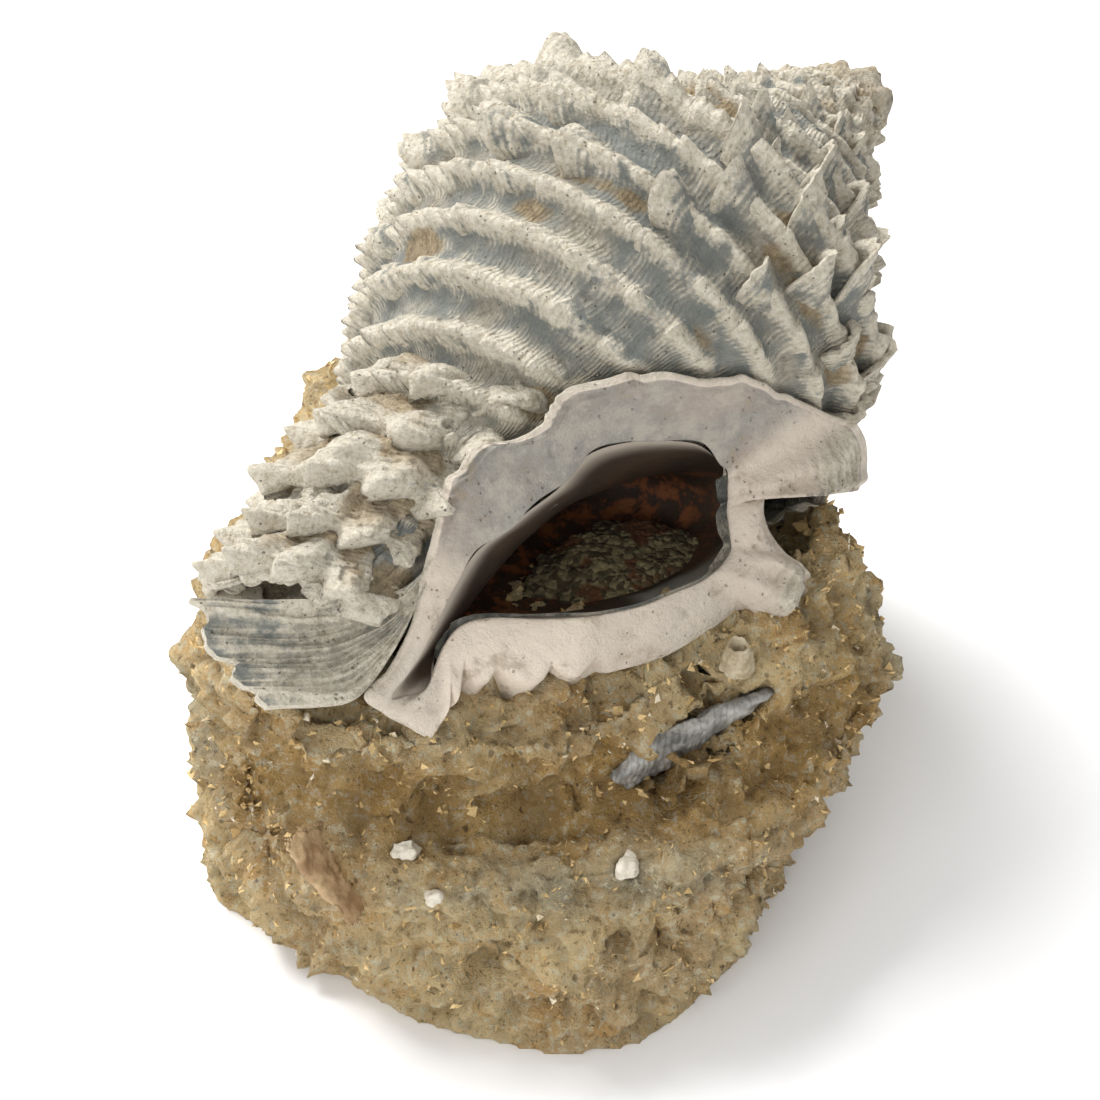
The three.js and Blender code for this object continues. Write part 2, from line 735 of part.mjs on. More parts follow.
const object = new THREE.Group();
object.add( model );

export default object;
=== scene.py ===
"""A fossil murex shell lying mouth up in its loose block of shelly sandstone."""

import math

import bmesh
import bpy
import numpy as np
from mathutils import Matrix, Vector
from mathutils.bvhtree import BVHTree


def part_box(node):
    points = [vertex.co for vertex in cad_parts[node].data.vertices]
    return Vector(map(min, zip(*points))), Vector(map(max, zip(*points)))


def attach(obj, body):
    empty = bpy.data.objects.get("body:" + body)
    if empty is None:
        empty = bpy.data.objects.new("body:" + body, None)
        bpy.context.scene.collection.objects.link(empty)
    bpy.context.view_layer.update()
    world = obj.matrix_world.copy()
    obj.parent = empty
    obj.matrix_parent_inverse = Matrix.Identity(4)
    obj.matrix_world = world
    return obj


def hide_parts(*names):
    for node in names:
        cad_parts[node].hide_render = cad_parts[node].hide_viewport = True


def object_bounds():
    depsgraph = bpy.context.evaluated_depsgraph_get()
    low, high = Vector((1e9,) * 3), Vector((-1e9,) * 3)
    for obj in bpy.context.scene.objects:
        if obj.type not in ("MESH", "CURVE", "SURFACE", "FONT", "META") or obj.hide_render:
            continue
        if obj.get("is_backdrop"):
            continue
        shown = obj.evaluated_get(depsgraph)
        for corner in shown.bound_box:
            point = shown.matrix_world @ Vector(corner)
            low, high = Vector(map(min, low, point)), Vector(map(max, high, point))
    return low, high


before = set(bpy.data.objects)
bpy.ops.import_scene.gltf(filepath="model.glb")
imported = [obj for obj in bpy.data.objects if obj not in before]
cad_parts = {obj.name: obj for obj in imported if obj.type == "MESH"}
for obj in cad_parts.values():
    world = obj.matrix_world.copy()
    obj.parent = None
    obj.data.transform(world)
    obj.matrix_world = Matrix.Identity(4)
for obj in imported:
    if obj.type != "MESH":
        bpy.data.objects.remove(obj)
size_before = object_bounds()

MM = 0.001


# ---------------------------------------------------------------------------------------------
# The coiled shell: one tube of lime laid down by the snail at the lip, a whorl at a time, each
# wrapped over the one before. It is carved by spiral cords and by the frilled edges of old lips.

block_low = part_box("matrix_block")[0]
SEAT = np.array(block_low) / MM + (51.19, 60.98, 56.0)
apex_way = np.array((0.62, 0.76, 0.19))
apex_way /= np.linalg.norm(apex_way)
mouth_way = np.array((0.29, -0.45, 0.84))
mouth_way -= apex_way * mouth_way.dot(apex_way)
mouth_way /= np.linalg.norm(mouth_way)
lip_way = np.cross(apex_way, mouth_way)
SHELL_AXES = np.array((lip_way, mouth_way, apex_way))

WHORLS = (-4.5, -4, -3, -2, -1.5, -1, -0.5, 0)
SHOULDER_RADIUS = (4.6, 5.8, 9.6, 15.0, 18.4, 22.4, 26.8, 28.0)
SHOULDER_HEIGHT = (35.5, 33.5, 26.5, 17.0, 11.5, 6.0, 1.5, 0.5)
DROPS = (0, 0.2, 0.4, 0.62, 0.84, 1.05, 1.27, 1.5, 1.8, 2.25)
SIDE_SHARES = (1.0, 1.02, 0.98, 0.92, 0.82, 0.69, 0.54, 0.44, 0.36, 0.26)
CORD_PITCH = 0.19
LAMELLA_PITCH = 2.6
LIP_STEP_PITCH = 6.2


def cells(points, cell, seed):
    """The place of each point in its lattice cell, and a function that gives a steady random
    number for a cell near it."""
    scaled = points / cell
    corner = np.floor(scaled).astype(np.int64)

    def chance(offset, salt=0):
        x, y, z = (corner + np.array(offset)).T
        mixed = x * 374761393 + y * 668265263 + z * 1440662683 + (seed * 31 + salt) * 974634777
        mixed = (mixed ^ (mixed >> 13)) * 1274126177
        return ((mixed ^ (mixed >> 16)) & 0xFFFF) / 65535.0

    return scaled - corner, chance


def noise(points, cell, seed=0):
    """Smooth noise from -1 to 1 with bumps about as wide as the cell."""
    shape = points.shape[:-1]
    place, chance = cells(points.reshape(-1, 3), cell, seed)
    ease = place * place * (3 - 2 * place)
    total = np.zeros(len(place))
    for offset in np.ndindex(2, 2, 2):
        weight = np.prod(np.where(offset, ease, 1 - ease), axis=1)
        total += weight * chance(offset)
    return (total * 2 - 1).reshape(shape)


def rough(points, cell, octaves, seed=0):
    """Noise with finer and finer noise added."""
    return sum(noise(points, cell / 2**i, seed + i) / 2**i for i in range(octaves))


def pits(points, cell, seed=0):
    """1 in the middle of scattered round pits, falling to 0 at their edges."""
    shape = points.shape[:-1]
    place, chance = cells(points.reshape(-1, 3), cell, seed)
    deepest = np.zeros(len(place))
    for offset in np.ndindex(3, 3, 3):
        step = np.array(offset) - 1
        centre = step + np.stack([chance(step, salt) for salt in (1, 2, 3)], axis=1)
        wide = 0.15 + 0.3 * chance(step, 4) ** 2
        away = np.linalg.norm(place - centre, axis=1) / wide
        deepest = np.maximum(deepest, np.clip(1 - away * away, 0, 1))
    return deepest.reshape(shape)


def smooth_table(x, xs, ys):
    """A smooth curve through a short table."""
    xs, ys = np.array(xs, float), np.array(ys, float)
    slopes = np.gradient(ys, xs)
    x = np.clip(x, xs[0], xs[-1])
    i = np.clip(np.searchsorted(xs, x, side="right") - 1, 0, len(xs) - 2)
    span = xs[i + 1] - xs[i]
    s = (x - xs[i]) / span
    bend = s * s * (3 - 2 * s)
    ends = s * (1 - s) ** 2 * slopes[i] + s * s * (s - 1) * slopes[i + 1]
    return ys[i] + (ys[i + 1] - ys[i]) * bend + span * ends


def smooth_loop(stations, count, closed=True):
    """Points spread evenly in station number along a smooth curve through the stations."""
    stations = np.array(stations, float)
    total = len(stations)
    t = np.linspace(0, total if closed else total - 1, count, endpoint=not closed)
    i = np.floor(t).astype(int)
    s = (t - i)[:, None]

    def at(k):
        return stations[k % total] if closed else stations[np.clip(k, 0, total - 1)]

    a, b, c, d = at(i - 1), at(i), at(i + 1), at(i + 2)
    return 0.5 * (2 * b + (c - a) * s + (2 * a - 5 * b + 4 * c - d) * s**2 + (3 * b - a - 3 * c + d) * s**3)


def blend(x, start, end):
    """0 before start, 1 after end, smooth between."""
    s = np.clip((x - start) / (end - start), 0, 1)
    return s * s * (3 - 2 * s)


def ridge(phase):
    """A row of rounded ridges, one for each whole step of the phase."""
    return 0.5 + 0.5 * np.cos(2 * np.pi * phase)


def frill(phase):
    """A ramp that rises slowly to a sharp edge, once for each whole step of the phase."""
    rise = phase - np.floor(phase)
    return rise**1.6 * (1 - blend(rise, 0.86, 1.0))


def on_shell(lip, front, axial):
    """Points in the shell's own directions, in millimetres, as points in the frame."""
    return SEAT + np.stack([lip, front, axial], axis=-1) @ SHELL_AXES


def turned(whorl, radius, axial):
    """Points at a radius and height where the shell had grown to at a whorl, in its own directions."""
    angle = 2 * np.pi * whorl
    return np.stack(np.broadcast_arrays(radius * np.cos(angle), radius * np.sin(angle), axial), axis=-1)


def whorl_skin(whorl, d):
    """The plain coil. d runs from -1 at the suture to 0 at the shoulder, then counts the drop
    down the side."""
    size = smooth_table(whorl, WHORLS, SHOULDER_RADIUS)
    height = smooth_table(whorl, WHORLS, SHOULDER_HEIGHT)
    earlier = smooth_table(whorl - 1, WHORLS, SHOULDER_RADIUS)
    suture = smooth_table(whorl - 1, WHORLS, SHOULDER_HEIGHT) - 0.12 * earlier
    flare = 0.2 * np.exp(whorl / 0.05) * np.sin(np.pi * np.clip(d / 1.7, 0, 1))
    side = size * smooth_table(d, DROPS, SIDE_SHARES) * (1 + flare)
    side = side * (1 - 0.2 * blend(whorl, -0.16, -0.02) * np.exp(-(((d - 0.55) / 0.4) ** 2)))
    up = np.clip(-d, 0, 1)
    radius = np.where(d < 0, size + (0.96 * earlier - size) * up, side)
    axial = np.where(d < 0, height + (suture - height) * up**1.1, height - d * size)
    return turned(whorl, radius, axial)


def grid_normals(points):
    """Unit normals of a grid of points, by the slopes along its rows and columns."""
    along = np.gradient(points, axis=0)
    across = np.gradient(points, axis=1)
    normals = np.cross(across, along)
    return normals / (np.linalg.norm(normals, axis=2, keepdims=True) + 1e-9)


def new_piece(name, mesh):
    """A new object in the scene with this mesh."""
    piece = bpy.data.objects.new(name, mesh)
    bpy.context.scene.collection.objects.link(piece)
    return piece


class Skin:
    """Grids of points gathered into one mesh, with a few painted values at each point."""

    def __init__(self):
        self.points, self.faces, self.marks, self.count = [], [], [], 0

    def add(self, points, relief=0.5, smooth=0.0, dirt=0.0, keep=None, wrap=False, growth=0.0):
        """A grid, rows by columns. relief is 1 on ridges, smooth is 1 on polished shell, dirt is 1
        where sand has settled, and growth is how far the lip had grown, in millimetres. On the rim relief
        carries painted light and shade, in the hollow painted shade and stain, and on the neck dirt
        also paints shade in the gaps between collars."""
        rows, columns = points.shape[:2]
        index = np.arange(rows * columns).reshape(rows, columns) + self.count
        if wrap:
            index = np.concatenate([index, index[:, :1]], axis=1)
        quads = np.stack(
            [index[:-1, :-1], index[1:, :-1], index[1:, 1:], index[:-1, 1:]], axis=-1
        ).reshape(-1, 4)
        if keep is not None:
            shown = keep.reshape(-1)
            quads = quads[shown[quads - self.count].all(axis=1)]
        self.points.append(points.reshape(-1, 3))
        self.faces.append(quads)
        held = [np.clip(mark, 0, 1) for mark in (relief, smooth, dirt)]
        marks = np.stack(np.broadcast_arrays(*held, growth, np.zeros((rows, columns)))[:4], axis=-1)
        self.marks.append(marks.reshape(-1, 4))
        self.count += rows * columns

    def build(self, name):
        points = np.concatenate(self.points)
        world = SEAT + points @ SHELL_AXES
        mesh = bpy.data.meshes.new(name)
        mesh.from_pydata((world * MM).tolist(), [], np.concatenate(self.faces).tolist())
        marks = np.concatenate(self.marks)
        for i, label in enumerate(("relief", "smooth", "dirt", "growth")):
            layer = mesh.attributes.new(label, "FLOAT", "POINT")
            layer.data.foreach_set("value", marks[:, i].astype(np.float32))
        cleaner = bmesh.new()
        cleaner.from_mesh(mesh)
        loose = [v for v in cleaner.verts if not v.link_faces]
        bmesh.ops.delete(cleaner, geom=loose, context="VERTS")
        cleaner.to_mesh(mesh)
        cleaner.free()
        mesh.shade_smooth()
        return new_piece(name, mesh)


def carved(whorl, d):
    """The coil with its cords and frills: its points, then for each how high it stands, how worn
    it is and how far the lip had grown."""
    plain = whorl_skin(whorl, d)
    open_air = blend(rim_gap(plain), 0.3, 3.2)
    normals = grid_normals(plain)
    size = smooth_table(whorl, WHORLS, SHOULDER_RADIUS)
    young = blend(size, 3, 22) * (1 - 0.6 * blend(whorl, -0.14, -0.02))
    worn = 1 - blend(size, 12, 20)
    grown = 2 * np.pi * np.cumsum(size * np.gradient(whorl, axis=0), axis=0)
    grown = grown + 1.4 * noise(plain, 9, 3) + 0.35 * noise(plain, 2.5, 4)
    cord = np.where(d > -0.06, ridge(d / CORD_PITCH), 0.45 * ridge(3 * d))
    cord = cord**1.7 * (1 - 0.55 * blend(d, 1.3, 2.0))
    thread = ridge(4 * d / CORD_PITCH + 0.5)
    fine = frill(grown / LAMELLA_PITCH)
    scalloped = blend(whorl, -0.8, -0.64) * (1 - 0.4 * blend(whorl, -0.45, -0.3))
    strong = np.clip(scalloped + 0.3 * noise(plain, 10, 7), 0.12, 1)
    patchy = 0.75 + 0.5 * noise(plain, 3.5, 16)
    lip_step = frill(grown / LIP_STEP_PITCH + 0.25 * np.round(d / CORD_PITCH))
    uneven = 0.85 + 0.3 * noise(plain, 9, 14) + 0.2 * noise(plain, 4, 15)
    height = young * (2.0 * cord * uneven + 0.16 * thread * (1 - cord))
    height += young * fine * (
        0.1 + 0.3 * strong * cord + 1.8 * cord**2 * strong
    ) * patchy + young * lip_step * (0.1 + 1.0 * cord)
    height += (0.2 + 0.6 * worn) * rough(plain, 1.6, 3, 9) + 0.45 * noise(plain, 5, 5)
    height -= (0.3 + 0.7 * worn) * pits(plain, 2.2, 6) + 0.6 * worn * pits(plain, 1.3, 8)
    forward = np.gradient(plain, axis=0)
    forward /= np.linalg.norm(forward, axis=2, keepdims=True) + 1e-9
    lean = young * cord * (1.5 * fine * strong * patchy + 1.0 * lip_step)
    relief = (
        0.02 + 0.6 * cord * uneven + 0.3 * fine * (0.15 + 1.2 * cord * strong) + 0.3 * lip_step * cord + 0.35
        * worn - 0.5 * pits(plain, 2.2, 6)
    )
    relief = np.clip(relief, 0, 1)
    height = height * open_air - 1.0 * (1 - open_air)
    lean = lean * open_air
    return plain + normals * height[..., None] + forward * lean[..., None], relief, worn, grown


RIM_INNER = (
    (9.3, 0.5, -55.9), (8.6, 2.5, -51.9), (7.2, 5, -47.7), (6.1, 7, -44.5), (5.5, 9, -41.5),
    (6.1, 10.5, -38.6), (6.5, 11.5, -35.6), (7.1, 12, -31.7), (6.8, 12.5, -28.9), (7.2, 12.5, -26.1),
    (9, 12.5, -22.8), (11.5, 12, -19.6), (14.1, 11, -16.8), (16.3, 10, -15.8), (18, 9, -15.4),
    (19.1, 8, -15.6), (19.7, 7.5, -16.1), (20.2, 7, -16.4), (20.6, 6.8, -16.8), (21.1, 6.5, -17.3),
    (21.6, 6.2, -17.7), (22.3, 6, -18.2), (23.1, 5.6, -18.8), (23.8, 5.3, -19.3), (24.4, 5, -19.8),
    (24.7, 4.8, -20.8), (24.8, 4.6, -21.9), (24.7, 4.4, -23), (24.3, 4.2, -24.8), (23, 4, -27.8),
    (21.4, 3.8, -31.4), (18.3, 3.6, -36), (14.8, 3.4, -39.9), (11, 3.2, -43.5), (9.5, 3, -46.1),
    (9.6, 2.5, -48.6), (10.5, 1.5, -50.8), (11.2, 0.5, -52.9), (10.4, -0.8, -54.1),
)
RIM_OUTER = (
    (8.1, 0.5, -57.5), (7.6, 2, -53.9), (6.3, 5, -50.1), (4.1, 7.5, -46.8), (1.8, 10.5, -43.8),
    (0.2, 11.8, -41.6), (-0.8, 13, -39.6), (-0.5, 14, -35.2), (1.2, 15, -32.6), (2.2, 16, -29.7),
    (1.7, 18, -26.3), (5.6, 19.3, -20.7), (9.7, 18.8, -16.3), (13.6, 17, -11.5), (17.7, 14, -7.8),
    (22.1, 11, -4.2), (26.5, 9, -1.7), (29.8, 8, -2.9), (29.7, 7, -6.2), (25.2, 6.5, -8.6),
    (23.1, 6, -11.1), (23.9, 5.5, -13.5), (25.7, 5, -15.1), (28.7, 4.5, -15.5), (31.7, 4, -14.7),
    (34.3, 3.2, -16), (34.8, 2.6, -19.1), (32.7, 2.2, -21.7), (29.4, 2.4, -22.7), (28.1, 2, -27.3),
    (26.4, 1, -32.4), (23, 0, -38.1), (20.9, -0.5, -42.7), (17, -0.5, -47.1), (13.9, -0.5, -49.8),
    (15, -1, -52.7), (14.7, -1.5, -55), (11.7, -1, -56), (10, -1.5, -56.6),
)
AROUND = 624


def evenly(loop, count):
    """A closed loop's points again, the same distance apart."""
    closed = np.concatenate([loop, loop[:1]])
    length = np.concatenate([[0], np.cumsum(np.linalg.norm(np.diff(closed, axis=0), axis=1))])
    at = np.linspace(0, length[-1], count, endpoint=False)
    return np.stack([np.interp(at, length, closed[:, i]) for i in range(loop.shape[1])], axis=1)


def rim_gap(points):
    """How far points lie outside the rim's outer edge, seen from the front, and 0 for points
    that the rim covers."""
    loop = smooth_loop(RIM_OUTER, 300)[:, (0, 2)]
    flat = points.reshape(-1, 3)[:, (0, 2)]
    inside = np.zeros(len(flat), bool)
    gap = np.full(len(flat), 99.0)
    for (x0, y0), (x1, y1) in zip(loop, np.roll(loop, -1, axis=0)):
        spans = (y0 > flat[:, 1]) != (y1 > flat[:, 1])
        inside ^= spans & (flat[:, 0] < (x1 - x0) * (flat[:, 1] - y0) / (y1 - y0 + 1e-12) + x0)
        gap = np.minimum(gap, np.hypot(flat[:, 0] - x0, flat[:, 1] - y0))
    gap[inside] = 0
    gap[points.reshape(-1, 3)[:, 1] <= 0] = 99.0
    return gap.reshape(points.shape[:-1])


RING_POINTS = 140
HOLLOW_ROWS = 74


def cavity_rings():
    """Rings of the hollow behind the mouth, from just outside it back round the axis."""
    section = evenly(smooth_loop(
        ((9.5, -46), (8.6, -40), (8.2, -33), (9, -26), (12, -18), (16.5, -11), (21, -7.5),
         (24.6, -10), (24.9, -16), (23.2, -22.5), (20, -29), (16, -35.5), (12.5, -41.5)), 600), RING_POINTS)
    mouth = evenly(smooth_loop(RIM_INNER, 600), RING_POINTS) - (0, 0.3, 0)
    middle = np.array((17, -26))
    rings = [mouth]
    for whorl in -np.linspace(0.03, 0.4, 9):
        size = smooth_table(whorl, WHORLS, SHOULDER_RADIUS) / SHOULDER_RADIUS[-1]
        taper = 1 - 0.6 * (whorl / 0.4) ** 2
        flat = middle + (section - middle) * taper
        rings.append(turned(np.full(RING_POINTS, whorl), flat[:, 0] * size, flat[:, 1]))
    rings.append(np.repeat(rings[-1].mean(axis=0)[None], RING_POINTS, axis=0))
    return smooth_loop_rings(np.array(rings), HOLLOW_ROWS)


def smooth_loop_rings(rings, count):
    """More rings between the given ones, along smooth curves."""
    lines = [smooth_loop(rings[:, i], count, closed=False) for i in range(rings.shape[1])]
    return np.stack(lines, axis=1)


cavity = cavity_rings()
mouth_cap = cavity[0] + np.array((3.5, 9, 0))
hollow_rows = np.concatenate([mouth_cap[None], cavity])
hollow_faces = []
for row in range(len(hollow_rows) - 1):
    for column in range(RING_POINTS):
        beside = (column + 1) % RING_POINTS
        here, after = row * RING_POINTS, (row + 1) * RING_POINTS
        hollow_faces.append((here + column, here + beside, after + beside, after + column))
hollow_faces.append(tuple(range(RING_POINTS - 1, -1, -1)))
hollow_tree = BVHTree.FromPolygons(hollow_rows.reshape(-1, 3).tolist(), hollow_faces)


WAY_OUT = (0.31, 0.83, 0.47)
MOST_SKINS = 12


def outside_hollow(points):
    """True for points that aren't in the hollow, by counting skins crossed on the way out."""
    flat = points.reshape(-1, 3)
    near = (flat[:, 1] > -30) & (flat[:, 2] > -56) & (flat[:, 2] < 6)
    answer = np.ones(len(flat), bool)
    for i in np.nonzero(near)[0]:
        start, way, crossed = Vector(flat[i]), Vector(WAY_OUT), 0
        for _ in range(MOST_SKINS):
            hit = hollow_tree.ray_cast(start, way)[0]
            if hit is None:
                break
            crossed += 1
            start = hit + way * 1e-3
        answer[i] = crossed % 2 == 0
    return answer.reshape(points.shape[:-1])


body = Skin()
last_whorl = np.linspace(-1.12, -0.004, 440)
ramp = np.linspace(-1, 0, 30, endpoint=False)
corded = np.linspace(0, 1.6, 120, endpoint=False)
base = np.linspace(1.6, 2.25, 16)
profile = np.concatenate([ramp, corded, base])
whorl_grid, profile_grid = np.meshgrid(last_whorl, profile, indexing="ij")
points, relief, worn, grown = carved(whorl_grid, profile_grid)
sandy = blend(noise(points, 7, 21) - 0.8 * relief, 0.05, 0.6)
body.add(points, relief, 0, sandy, outside_hollow(points) & (points[..., 2] > -53.5), growth=grown)

spire_whorls = np.linspace(-4.5, -1.1, 620)
spire_profile = np.linspace(-1, 0.42, 52)
whorl_grid, profile_grid = np.meshgrid(spire_whorls, spire_profile, indexing="ij")
points, relief, worn, grown = carved(whorl_grid, profile_grid)
sandy = 0.6 * worn + blend(noise(points, 6, 22) - 0.6 * relief, 0.0, 0.7)
body.add(points, relief, 0, sandy, growth=grown)

# The worn stub of the first whorls, at the top of the spire.
turn, tilt = np.meshgrid(
    np.linspace(0, 2 * np.pi, 60, endpoint=False), np.linspace(0, np.pi * 0.62, 26), indexing="xy"
)
stub = np.stack([np.sin(tilt) * np.cos(turn), np.sin(tilt) * np.sin(turn), np.cos(tilt)], axis=-1)
stub = stub * (5.4, 5.4, 4.2) + (0, 0, 34.2)
stub = stub * (1 + (0.16 * rough(stub, 3, 3, 33) - 0.12 * pits(stub, 1.8, 34))[..., None] * (1, 1, 0.4))
body.add(stub, 0.4, 0, 0.7, wrap=True)

coil = body.build("shell_coil")


# ---------------------------------------------------------------------------------------------
# The open scales: where each old lip crossed a cord it left a hood of thin shell, open towards
# the mouth. They are largest along the shoulder and stand in loose rows down the side.

scales = Skin()
dice = np.random.default_rng(7)


def hood(foot, out, ahead, length, width, height, lean, roll, detail=1.0, point=0.8, sag=0.6):
    """One hollow hood. It rises from its foot, opens towards ahead, and its tip leans forward."""
    side = np.cross(out, ahead)
    side = side * math.cos(roll) + out * math.sin(roll)
    rows, columns = int(12 * detail) + 5, int(14 * detail) + 7
    x, arch = np.meshgrid(np.linspace(0, 1, rows), np.linspace(-1, 1, columns), indexing="ij")
    angle = arch * np.pi / 2
    peak = np.cos(angle) ** point
    chipped = 1 - 0.22 * (1 + noise(foot + arch[..., None] * (3, 5, 7), 1.3, 13)) * x**4 * peak

    def sheet(thinner, sunk):
        open_width = width * (0.42 + 0.58 * x**0.8) - thinner
        rise = (height * x**1.6 * chipped - thinner * x) * peak
        forward = -length * (1 - x) + lean * x**2 * peak - sunk
        return (
            foot
            + side * (open_width * np.sin(angle))[..., None]
            + out * (rise - 0.9 * (1 - x) - 0.6 - sag * np.sin(angle) ** 2)[..., None]
            + ahead * forward[..., None]
        )

    outer = sheet(0, 0)
    outer = outer + (
        0.3 * rough(outer, 1.5, 3, 12) + 0.16 * ridge(x * length / 0.8) * x + 0.22
        * ridge(3.5 * arch + 0.3 * x) * x
    )[..., None] * out
    inner = sheet(0.85, 0.35)[rows // 4 :]
    # Painted shade: the hood's face keeps a low relief except near its edge, and on its inside the relief
    # falls from the edge inwards, so both are painted the blue grey of shade.
    relief = 0.04 + 0.66 * x**5 + 0.2 * ridge(x * length / 0.8) + 0.25 * noise(outer, 2.2, 18)
    scales.add(outer, relief, 0, 0.5 * (1 - x) + 0.3 * noise(outer, 3, 17), growth=x * length)
    middle = (outer[-1:] + inner[-1:]) / 2 + (ahead * 0.18 + out * 0.05)
    fold = np.concatenate([outer[-1:], middle, inner[::-1]])
    fade = np.concatenate([[1.0, 0.95], np.linspace(0.7, 0.0, len(inner))])[:, None] * np.ones(columns)
    scales.add(fold, fade, 0.1, 0.3 + 0.5 * (1 - fade))


def plant_hood(whorl, d, length, width, height, lean, detail, point=0.8, sag=0.6):
    """A hood on the coil, unless the rim covers the place or it would stick into the hollow."""
    spot = np.array([[whorl - 0.002, whorl, whorl + 0.002]]).T * np.ones((1, 3))
    drops = np.array([[d - 0.01, d, d + 0.01]]) * np.ones((3, 1))
    patch = whorl_skin(spot, drops)
    out = grid_normals(patch)[1, 1]
    ahead = patch[2, 1] - patch[0, 1]
    ahead /= np.linalg.norm(ahead)
    foot = patch[1, 1]
    size = smooth_table(whorl, WHORLS, SHOULDER_RADIUS)
    foot = foot + out * 1.2 * blend(size, 3, 22)
    wing = np.cross(out, ahead) * width
    tail = foot - ahead * length - out * 1.6
    reaches = np.array(
        (foot, foot + out * height, foot + ahead * 2, tail, foot + wing, foot - wing, foot - out * 1.5)
    )
    if not outside_hollow(reaches).all() or rim_gap(reaches).min() < 1.0:
        return
    hood(foot, out, ahead, length, width, height, lean, dice.uniform(-0.25, 0.25), detail, point, sag)


SCALED_CORDS = 8
FIRST_SHOULDER_SCALE = -3.1
FIRST_SIDE_SCALE = -1.1
LAST_SCALE = -0.13
for cord_number in range(SCALED_CORDS):
    spacing = 0.066 if cord_number < 3 else 0.052
    first = FIRST_SHOULDER_SCALE if cord_number == 0 else FIRST_SIDE_SCALE
    for whorl in np.arange(first, LAST_SCALE, spacing):
        at = whorl + dice.uniform(-0.01, 0.01) + 0.022 * (cord_number % 3)
        size = float(smooth_table(at, WHORLS, SHOULDER_RADIUS)) / 28
        scatter = dice.uniform(0.7, 1.2)
        tall_row = cord_number in (1, 2) and -1.08 < at < -0.42
        d = cord_number * CORD_PITCH
        if cord_number == 0:
            wide = (4.0 + 0.6 * dice.uniform()) * size
            plant_hood(at, -0.03, 7.4 * size, wide, 5.4 * size * scatter, 2.4 * size, 1.3, 0.85, 2.8 * size)
        elif tall_row and dice.uniform() < 0.85:
            plant_hood(at, d, 6.6 * size, 3.4 * size, 5.4 * size * scatter, 2.2 * size, 1.2, 0.85, 1.9 * size)
        elif dice.uniform() < 0.7:
            low = 0.6 + 0.4 * blend(abs(at + 0.45), 0.25, 0.05)
            plant_hood(at, d, 5.2, 2.2 * low, 3.0 * low * scatter, 1.2, 0.7, 0.65, 1.0)
for whorl in np.arange(-2.7, -0.1, 0.07):
    size = float(smooth_table(whorl, WHORLS, SHOULDER_RADIUS)) / 28
    at = whorl + dice.uniform(-0.012, 0.012)
    plant_hood(
        at, -0.4 + dice.uniform(-0.08, 0.08), 4.8 * size, 1.9 * size, 2.6 * size * dice.uniform(0.5, 1.3),
        0.8, 0.6
    )


# ---------------------------------------------------------------------------------------------
# The neck and the canal: the shell's long front end. Each old canal was left as a fluted collar
# when the next one grew, so they stack down the left side; the last one is a ribbed open gutter.

NECK_ROWS = 220
NECK_AROUND = 220
CANAL_GRID = 130
front_end = Skin()
neck_line = smooth_loop(
    (
        (-3.0, 1.5, -22), (-4.2, 2.2, -31), (-5, 2.8, -40), (-5, 2.6, -48.5), (-4.3, 2.4, -55)
    ), NECK_ROWS, closed=False
)
COLLAR_COUNT = 5
COLLAR_SLANT = 0.62
share, turn = np.meshgrid(
    np.linspace(0, 1, NECK_ROWS), np.linspace(0, 2 * np.pi, NECK_AROUND, endpoint=False), indexing="ij"
)
radial = np.stack([np.cos(turn), np.sin(turn), COLLAR_SLANT * np.cos(turn)], axis=-1)
girth = np.interp(share, (0, 0.25, 0.52, 0.8, 1), (9, 9.4, 7.6, 6.0, 4.9))
neck = neck_line[:, None] + radial * girth[..., None]
stack = share * COLLAR_COUNT + 0.12 * noise(neck, 7, 41) + 0.07 * np.sin(3 * turn)
step = stack - np.floor(stack)
flutes = np.cos(9 * turn + 2.4 * np.floor(stack) + 1.6 * noise(neck, 6, 42))
rise = 2.5 * step**1.3 * (1 - blend(step, 0.88, 1.0)) * (1 + 0.38 * flutes) + 0.5 * step * flutes
rise += (
    0.4 * frill(stack * 5 + 0.4 * flutes) * (0.4 + step) + 1.35 * rough(neck, 3.8, 4, 43) - 0.8
    * pits(neck, 2.4, 44)
)
droop = (2.0 * step**3 * (1 + 0.6 * flutes))[..., None] * np.array((-0.3, 0, -1.0))
neck = neck + radial * (1, 1, 0.3) * rise[..., None] + droop
relief = np.clip(0.3 + 0.65 * step**1.3 * (0.75 + 0.25 * flutes) - 0.4 * pits(neck, 2.4, 44), 0, 1)
# Sand and painted shade: sand colour gathers low in each collar, in the gaps between collars, where it also
# stands in for shade.
sand_and_shade = np.clip(blend(noise(neck, 5, 45), -0.8, 0.2) * (1.15 - step) * 1.7, 0, 1)
front_end.add(neck, relief, 0, sand_and_shade, outside_hollow(neck), wrap=True, growth=stack * 7)

# The last collar ends in a thick rolled edge.
edge = neck[-1]
edge_way = np.roll(edge, -1, axis=0) - np.roll(edge, 1, axis=0)
edge_way /= np.linalg.norm(edge_way, axis=1, keepdims=True)
edge_out = radial[-1] / np.linalg.norm(radial[-1], axis=1, keepdims=True)
edge_down = np.cross(edge_way, edge_out)
spin = np.linspace(0, 2 * np.pi, 22)
thick = (1.15 + 0.3 * np.cos(9 * turn[0]) + 0.35 * noise(edge, 4, 46))[:, None]
roll = edge[:, None] - edge_out[:, None] * 0.5
roll = (
    roll + edge_out[:, None] * (np.cos(spin) * thick)[..., None] + edge_down[:, None]
    * (np.sin(spin) * thick * 1.25)[..., None]
)
roll += 0.22 * rough(roll, 1.4, 2, 47)[..., None]
front_end.add(np.concatenate([roll, roll[:1]]), 0.9, 0.15, 0.15)
